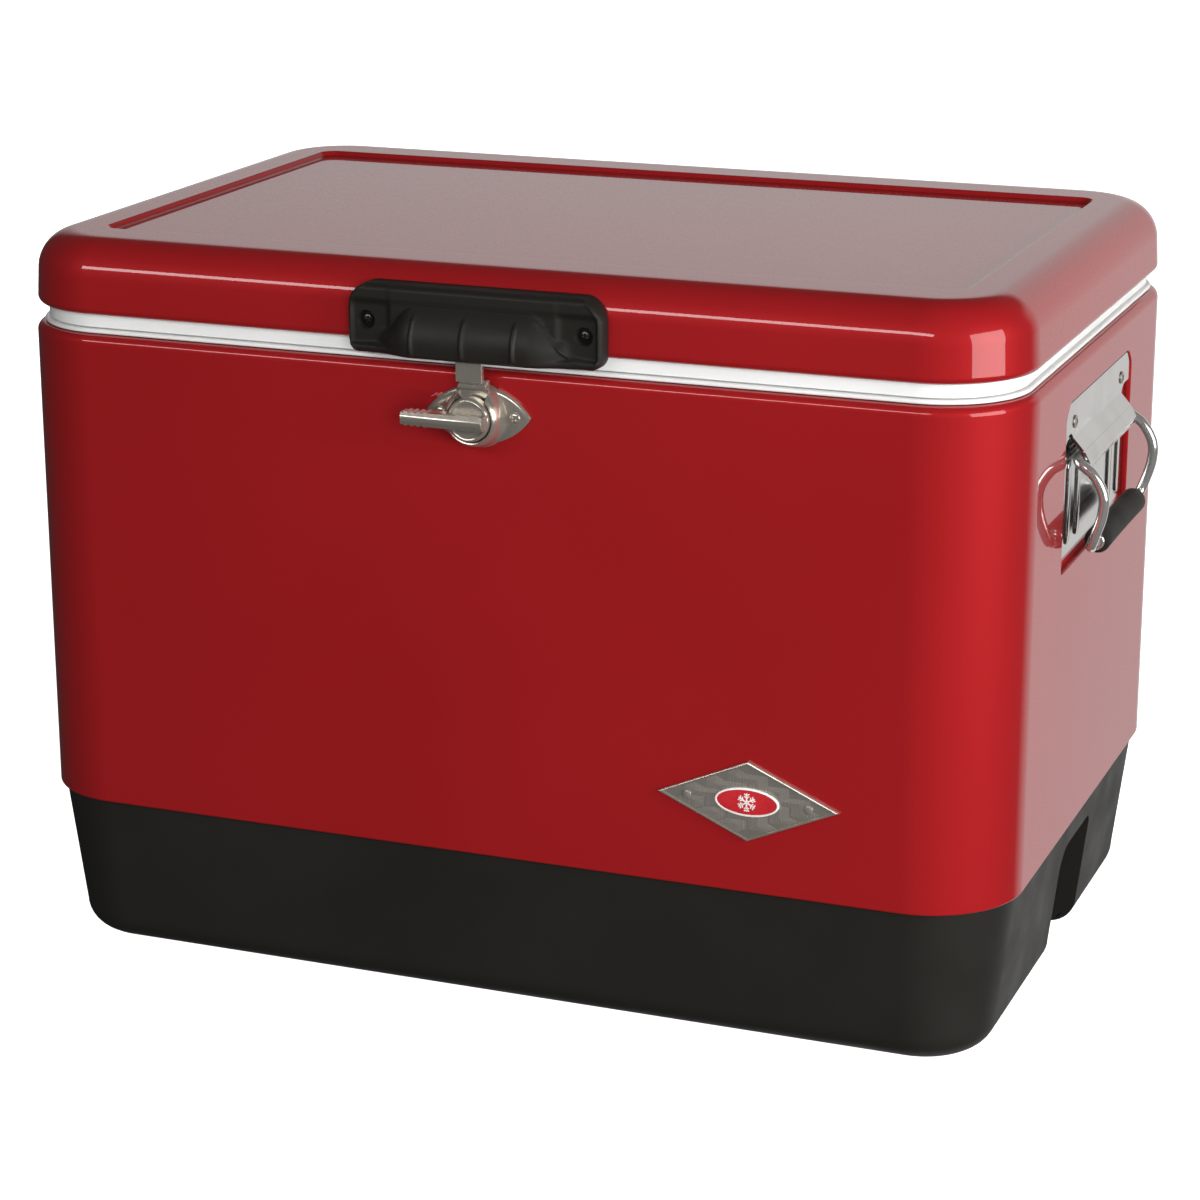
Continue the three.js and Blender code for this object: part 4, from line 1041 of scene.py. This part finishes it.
def make_end_handle(side):
    y, low, high = POCKET_Y - 0.8 * MM, POCKET_LOW.z, POCKET_HIGH.z
    cut = CHAMFER * 0.95
    outline = rounded([
        (-y, low, 1.5 * MM), (y, low, 1.5 * MM), (y, high - cut, 2 * MM), (y - cut, high, 2 * MM),
        (-y + cut, high, 2 * MM), (-y, high - cut, 2 * MM),
    ])
    plate = prism("backplate_" + side, outline, "x", POCKET_LOW.x, POCKET_HIGH.x, 0.25 * MM, 2)
    foot, head, turn = low + 6 * MM, 312 * MM, 3.9 * MM
    for middle in BEADS:
        near, far = middle - 4 * MM, middle + 4 * MM
        bead = rounded([(near, foot, turn), (far, foot, turn), (far, head, turn), (near, head, turn)])
        bead_ends = POCKET_LOW.x + 0.2 * MM, POCKET_HIGH.x + MM
        boolean(plate, prism("bead", bead, "x", *bead_ends, 0.9 * MM, 3), "UNION")
    dress(mirrored(plate, side), "chest", "stainless", replaces=["handle_backplate_" + side])

    back, face = BRACKET_LOW.x, BRACKET_LOW.x + 1.2 * MM
    top = BRACKET_HIGH.z
    sheet_outline = rounded([
        (-HOOD_Y, 323 * MM, 0), (HOOD_Y, 323 * MM, 0), (HOOD_Y + 5 * MM, 327.5 * MM, 3 * MM),
        (y, 327.5 * MM, 1 * MM), (y, top - cut, 2 * MM), (y - cut, top, 2 * MM),
        (-y + cut, top, 2 * MM), (-y, top - cut, 2 * MM), (-y, 327.5 * MM, 1 * MM),
        (-HOOD_Y - 5 * MM, 327.5 * MM, 3 * MM),
    ], 4)
    bracket = prism("bracket_" + side, sheet_outline, "x", back, face, 0.3 * MM, 2)
    hood_corners = [
        (face / MM, 330, 0), (face / MM, 323.5, 1), (295.1, 317, 0), (294.9, 316.4, 0), (295.9, 315.9, 0),
        (299, 309.8, 1.2), (298.4, 307.2, 0.8), (296, 306.4, 0.5), (291, 306.6, 0.4), (291, 307.7, 0.4),
        (295.8, 307.6, 0.5), (297.6, 309.4, 0.8), (294.4, 315.8, 1.2), (back / MM, 322.2, 0.6),
        (back / MM, 330, 0),
    ]
    hood_outline = rounded([(a * MM, b * MM, turn * MM) for a, b, turn in hood_corners], 4)
    hood = prism("hood", hood_outline, "y", -HOOD_Y, HOOD_Y, 0.25 * MM, 2)
    boolean(bracket, hood, "UNION")
    mirrored(bracket, side)
    dress(bracket, "chest", "stainless", replaces=["handle_bracket_" + side], smooth=28, weighted=True)

    wire = tube("bail_wire_" + side, bail_path(), WIRE)
    dress(mirrored(wire, side), "bail_" + side, "wire", ["bail_" + side], 40)
    half, reach, bore = GRIP_HIGH.y, GRIP_HIGH.x - GRIP.x, WIRE + 0.25 * MM
    collar = in_mm([(4.2, 0.2), (4.6, 0.6), (4.6, 1.6), (4.2, 2.0)])
    collar = [(bore, 0.2 * MM), *collar, (bore, 2.0 * MM), (bore, 0.2 * MM)]
    for number, end in ((1, -1), (2, 1)):
        ferrule = turned(f"ferrule_{side}_{number}", collar, (GRIP.x, end * half, GRIP.z), (0, end, 0), 32)
        dress(mirrored(ferrule, side), "bail_" + side, "wire", smooth=30)
    lip = [(reach - 1.8 * MM, 0), (reach - 0.6 * MM, 0.5 * MM), (reach, 1.8 * MM)]
    profile = [(bore, -half)] + [(radius, along - half) for radius, along in lip]
    for k in range(1, 12):
        along = -half + 1.8 * MM + (2 * half - 3.6 * MM) * k / 12
        profile.append((reach - 0.25 * MM * math.sin(math.pi * k / 12), along))
    profile += [(radius, half - along) for radius, along in reversed(lip)] + [(bore, half), (bore, -half)]
    grip = turned("grip_" + side, profile, GRIP, (0, 1, 0), 48)
    dress(mirrored(grip, side), "bail_" + side, "grip", replaces=["bail_grip_" + side], smooth=40)


# ---------- drain ----------


def make_drain():
    cap_low, cap_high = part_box("drain_cap")
    middle = (cap_low + cap_high) / 2
    radius = (cap_high.y - cap_low.y) / 2
    sides = 96
    deep, bore = cap_high.x - cap_low.x, 11.3 * MM
    levels = [
        (AXIS_RADIUS, 0, 0), (radius - 2.2 * MM, 0, 0), (radius - MM, 0.3 * MM, 0), (radius, 1.4 * MM, 1),
        (radius, deep, 1), (bore, deep, 0), (bore, 2.5 * MM, 0),
    ]
    rings = []
    for reach, along, knurl in levels:
        loop = []
        for t in circle(sides):
            size = reach - knurl * 0.45 * MM * (0.5 + 0.5 * math.cos(24 * t))
            y, z = middle.y + size * math.cos(t), middle.z + size * math.sin(t)
            loop.append(Vector((cap_low.x + along, y, z)))
        rings.append(loop)
    cap = loft("drain_screw_cap", rings)
    dress(cap, "drain_cap", "black_plastic", replaces=["drain_cap"])


# ---------- CAD nodes that stay ----------


def dress_cad_nodes():
    """Hidden or already detailed CAD pieces keep their shape and take a material and crisp smoothing."""
    slots = {row["node"]: row["material_slot"] for row in frame["record"]["subparts"]}
    for name, node in NODES.items():
        if node.hide_render:
            continue
        node.data.materials.clear()
        node.data.materials.append(MATERIALS[slots[name]])
        soften(node.data, 32)


# ---------- studio ----------


def make_floor():
    """A white ground for the camera only, wide enough that its edge is out of every view."""
    half = 80.0
    corners = [(-half, -half), (half, -half), (half, half), (-half, half)]
    floor = prism("studio_floor", corners, "z", -0.02, -0.0002)
    material, tree, shader = new_material("pale_floor")
    tone = blend_colours(tree, noise(tree, 0.6, 2), (0.86, 0.86, 0.86), (0.88, 0.88, 0.88))
    tree.links.new(tone, shader.inputs["Base Color"])
    put(shader, Roughness=0.9, Specular_IOR_Level=0.0, Emission_Color=(1, 1, 1, 1), Emission_Strength=1.0)
    floor.data.materials.append(material)
    floor.visible_glossy = False
    floor.visible_diffuse = False


def make_world():
    """A dark room with one white wall behind the chest, seen only in its reflections and soft fill."""
    world = bpy.data.worlds.new("studio")
    bpy.context.scene.world = world
    world.use_nodes = True
    tree = world.node_tree
    tree.nodes.clear()
    output = tree.nodes.new("ShaderNodeOutputWorld")
    background = tree.nodes.new("ShaderNodeBackground")
    place = tree.nodes.new("ShaderNodeTexCoord")
    split = tree.nodes.new("ShaderNodeSeparateXYZ")
    tree.links.new(place.outputs["Generated"], split.inputs[0])
    across = tree.nodes.new("ShaderNodeVectorMath")
    across.operation = "MULTIPLY"
    across.inputs[1].default_value = (1, 1, 0)
    tree.links.new(place.outputs["Generated"], across.inputs[0])
    level = tree.nodes.new("ShaderNodeVectorMath")
    level.operation = "NORMALIZE"
    tree.links.new(across.outputs[0], level.inputs[0])
    heading = tree.nodes.new("ShaderNodeSeparateXYZ")
    tree.links.new(level.outputs[0], heading.inputs[0])
    wall = remap(tree, heading.outputs["Y"], 0.0, 0.51, 0.72, 0.86)
    glow = remap(tree, heading.outputs["Y"], 0.0, 0.14, 0.84, 0.96)
    height = remap(tree, split.outputs["Z"], 1.0, 0.0, 0.33, 0.47)
    total = tree.nodes.new("ShaderNodeMath")
    total.operation = "ADD"
    tree.links.new(wall, total.inputs[0])
    tree.links.new(glow, total.inputs[1])
    lit = tree.nodes.new("ShaderNodeMath")
    lit.operation = "MULTIPLY_ADD"
    lit.inputs[2].default_value = 0.035
    tree.links.new(total.outputs[0], lit.inputs[0])
    tree.links.new(height, lit.inputs[1])
    tree.links.new(lit.outputs[0], background.inputs["Strength"])
    background.inputs["Color"].default_value = (1, 0.995, 0.985, 1)
    tree.links.new(background.outputs[0], output.inputs["Surface"])


def area_light(name, place, aim, size, power, glossy=True):
    data = bpy.data.lights.new(name, "AREA")
    data.shape = "RECTANGLE"
    data.size, data.size_y = size
    data.energy = power
    light = bpy.data.objects.new(name, data)
    bpy.context.scene.collection.objects.link(light)
    light.location = place
    light.rotation_euler = (Vector(aim) - Vector(place)).to_track_quat("-Z", "Y").to_euler()
    light.visible_glossy = glossy
    light.visible_camera = False


def make_lights():
    """One box light and a strip that show in the gloss, and soft fills that do not."""
    middle = Vector((0, 0, HEIGHT / 2))
    corner = Vector((HALF_X - 20 * MM, -HALF_Y + 20 * MM, HEIGHT - 30 * MM))
    area_light("right_box", corner + Vector((1.50, -0.52, 0.22)), corner, (1.25, 1.05), 19)
    area_light("front_strip", (-0.7, -2.6, 1.62), middle, (2.6, 0.34), 22)
    area_light("front_key", (1.5, -2.7, 0.9), middle, (1.2, 1.2), 54, glossy=False)
    area_light("side_key", (2.9, -0.7, 0.9), middle, (1.2, 1.2), 42, glossy=False)
    area_light("top_fill", (0.2, -0.1, 2.6), middle, (1.4, 1.4), 7, glossy=False)
    area_light("back_fill", (-1.9, 1.9, 1.1), middle, (1.6, 1.6), 26, glossy=False)
    area_light("low_fill", (0.5, -1.3, 0.06), (0.15, 0, 0.14), (1.4, 0.08), 3.4, glossy=False)


bpy.context.scene.view_settings.view_transform = "Standard"
make_camera()
make_base()
make_belt()
make_tub()
make_lid()
make_lid_liner()
make_handle()
make_screws()
make_latch()
make_strike()
make_badge()
make_medallion()
for end in ("right", "left"):
    make_end_handle(end)
make_drain()
dress_cad_nodes()
make_floor()
make_world()
make_lights()
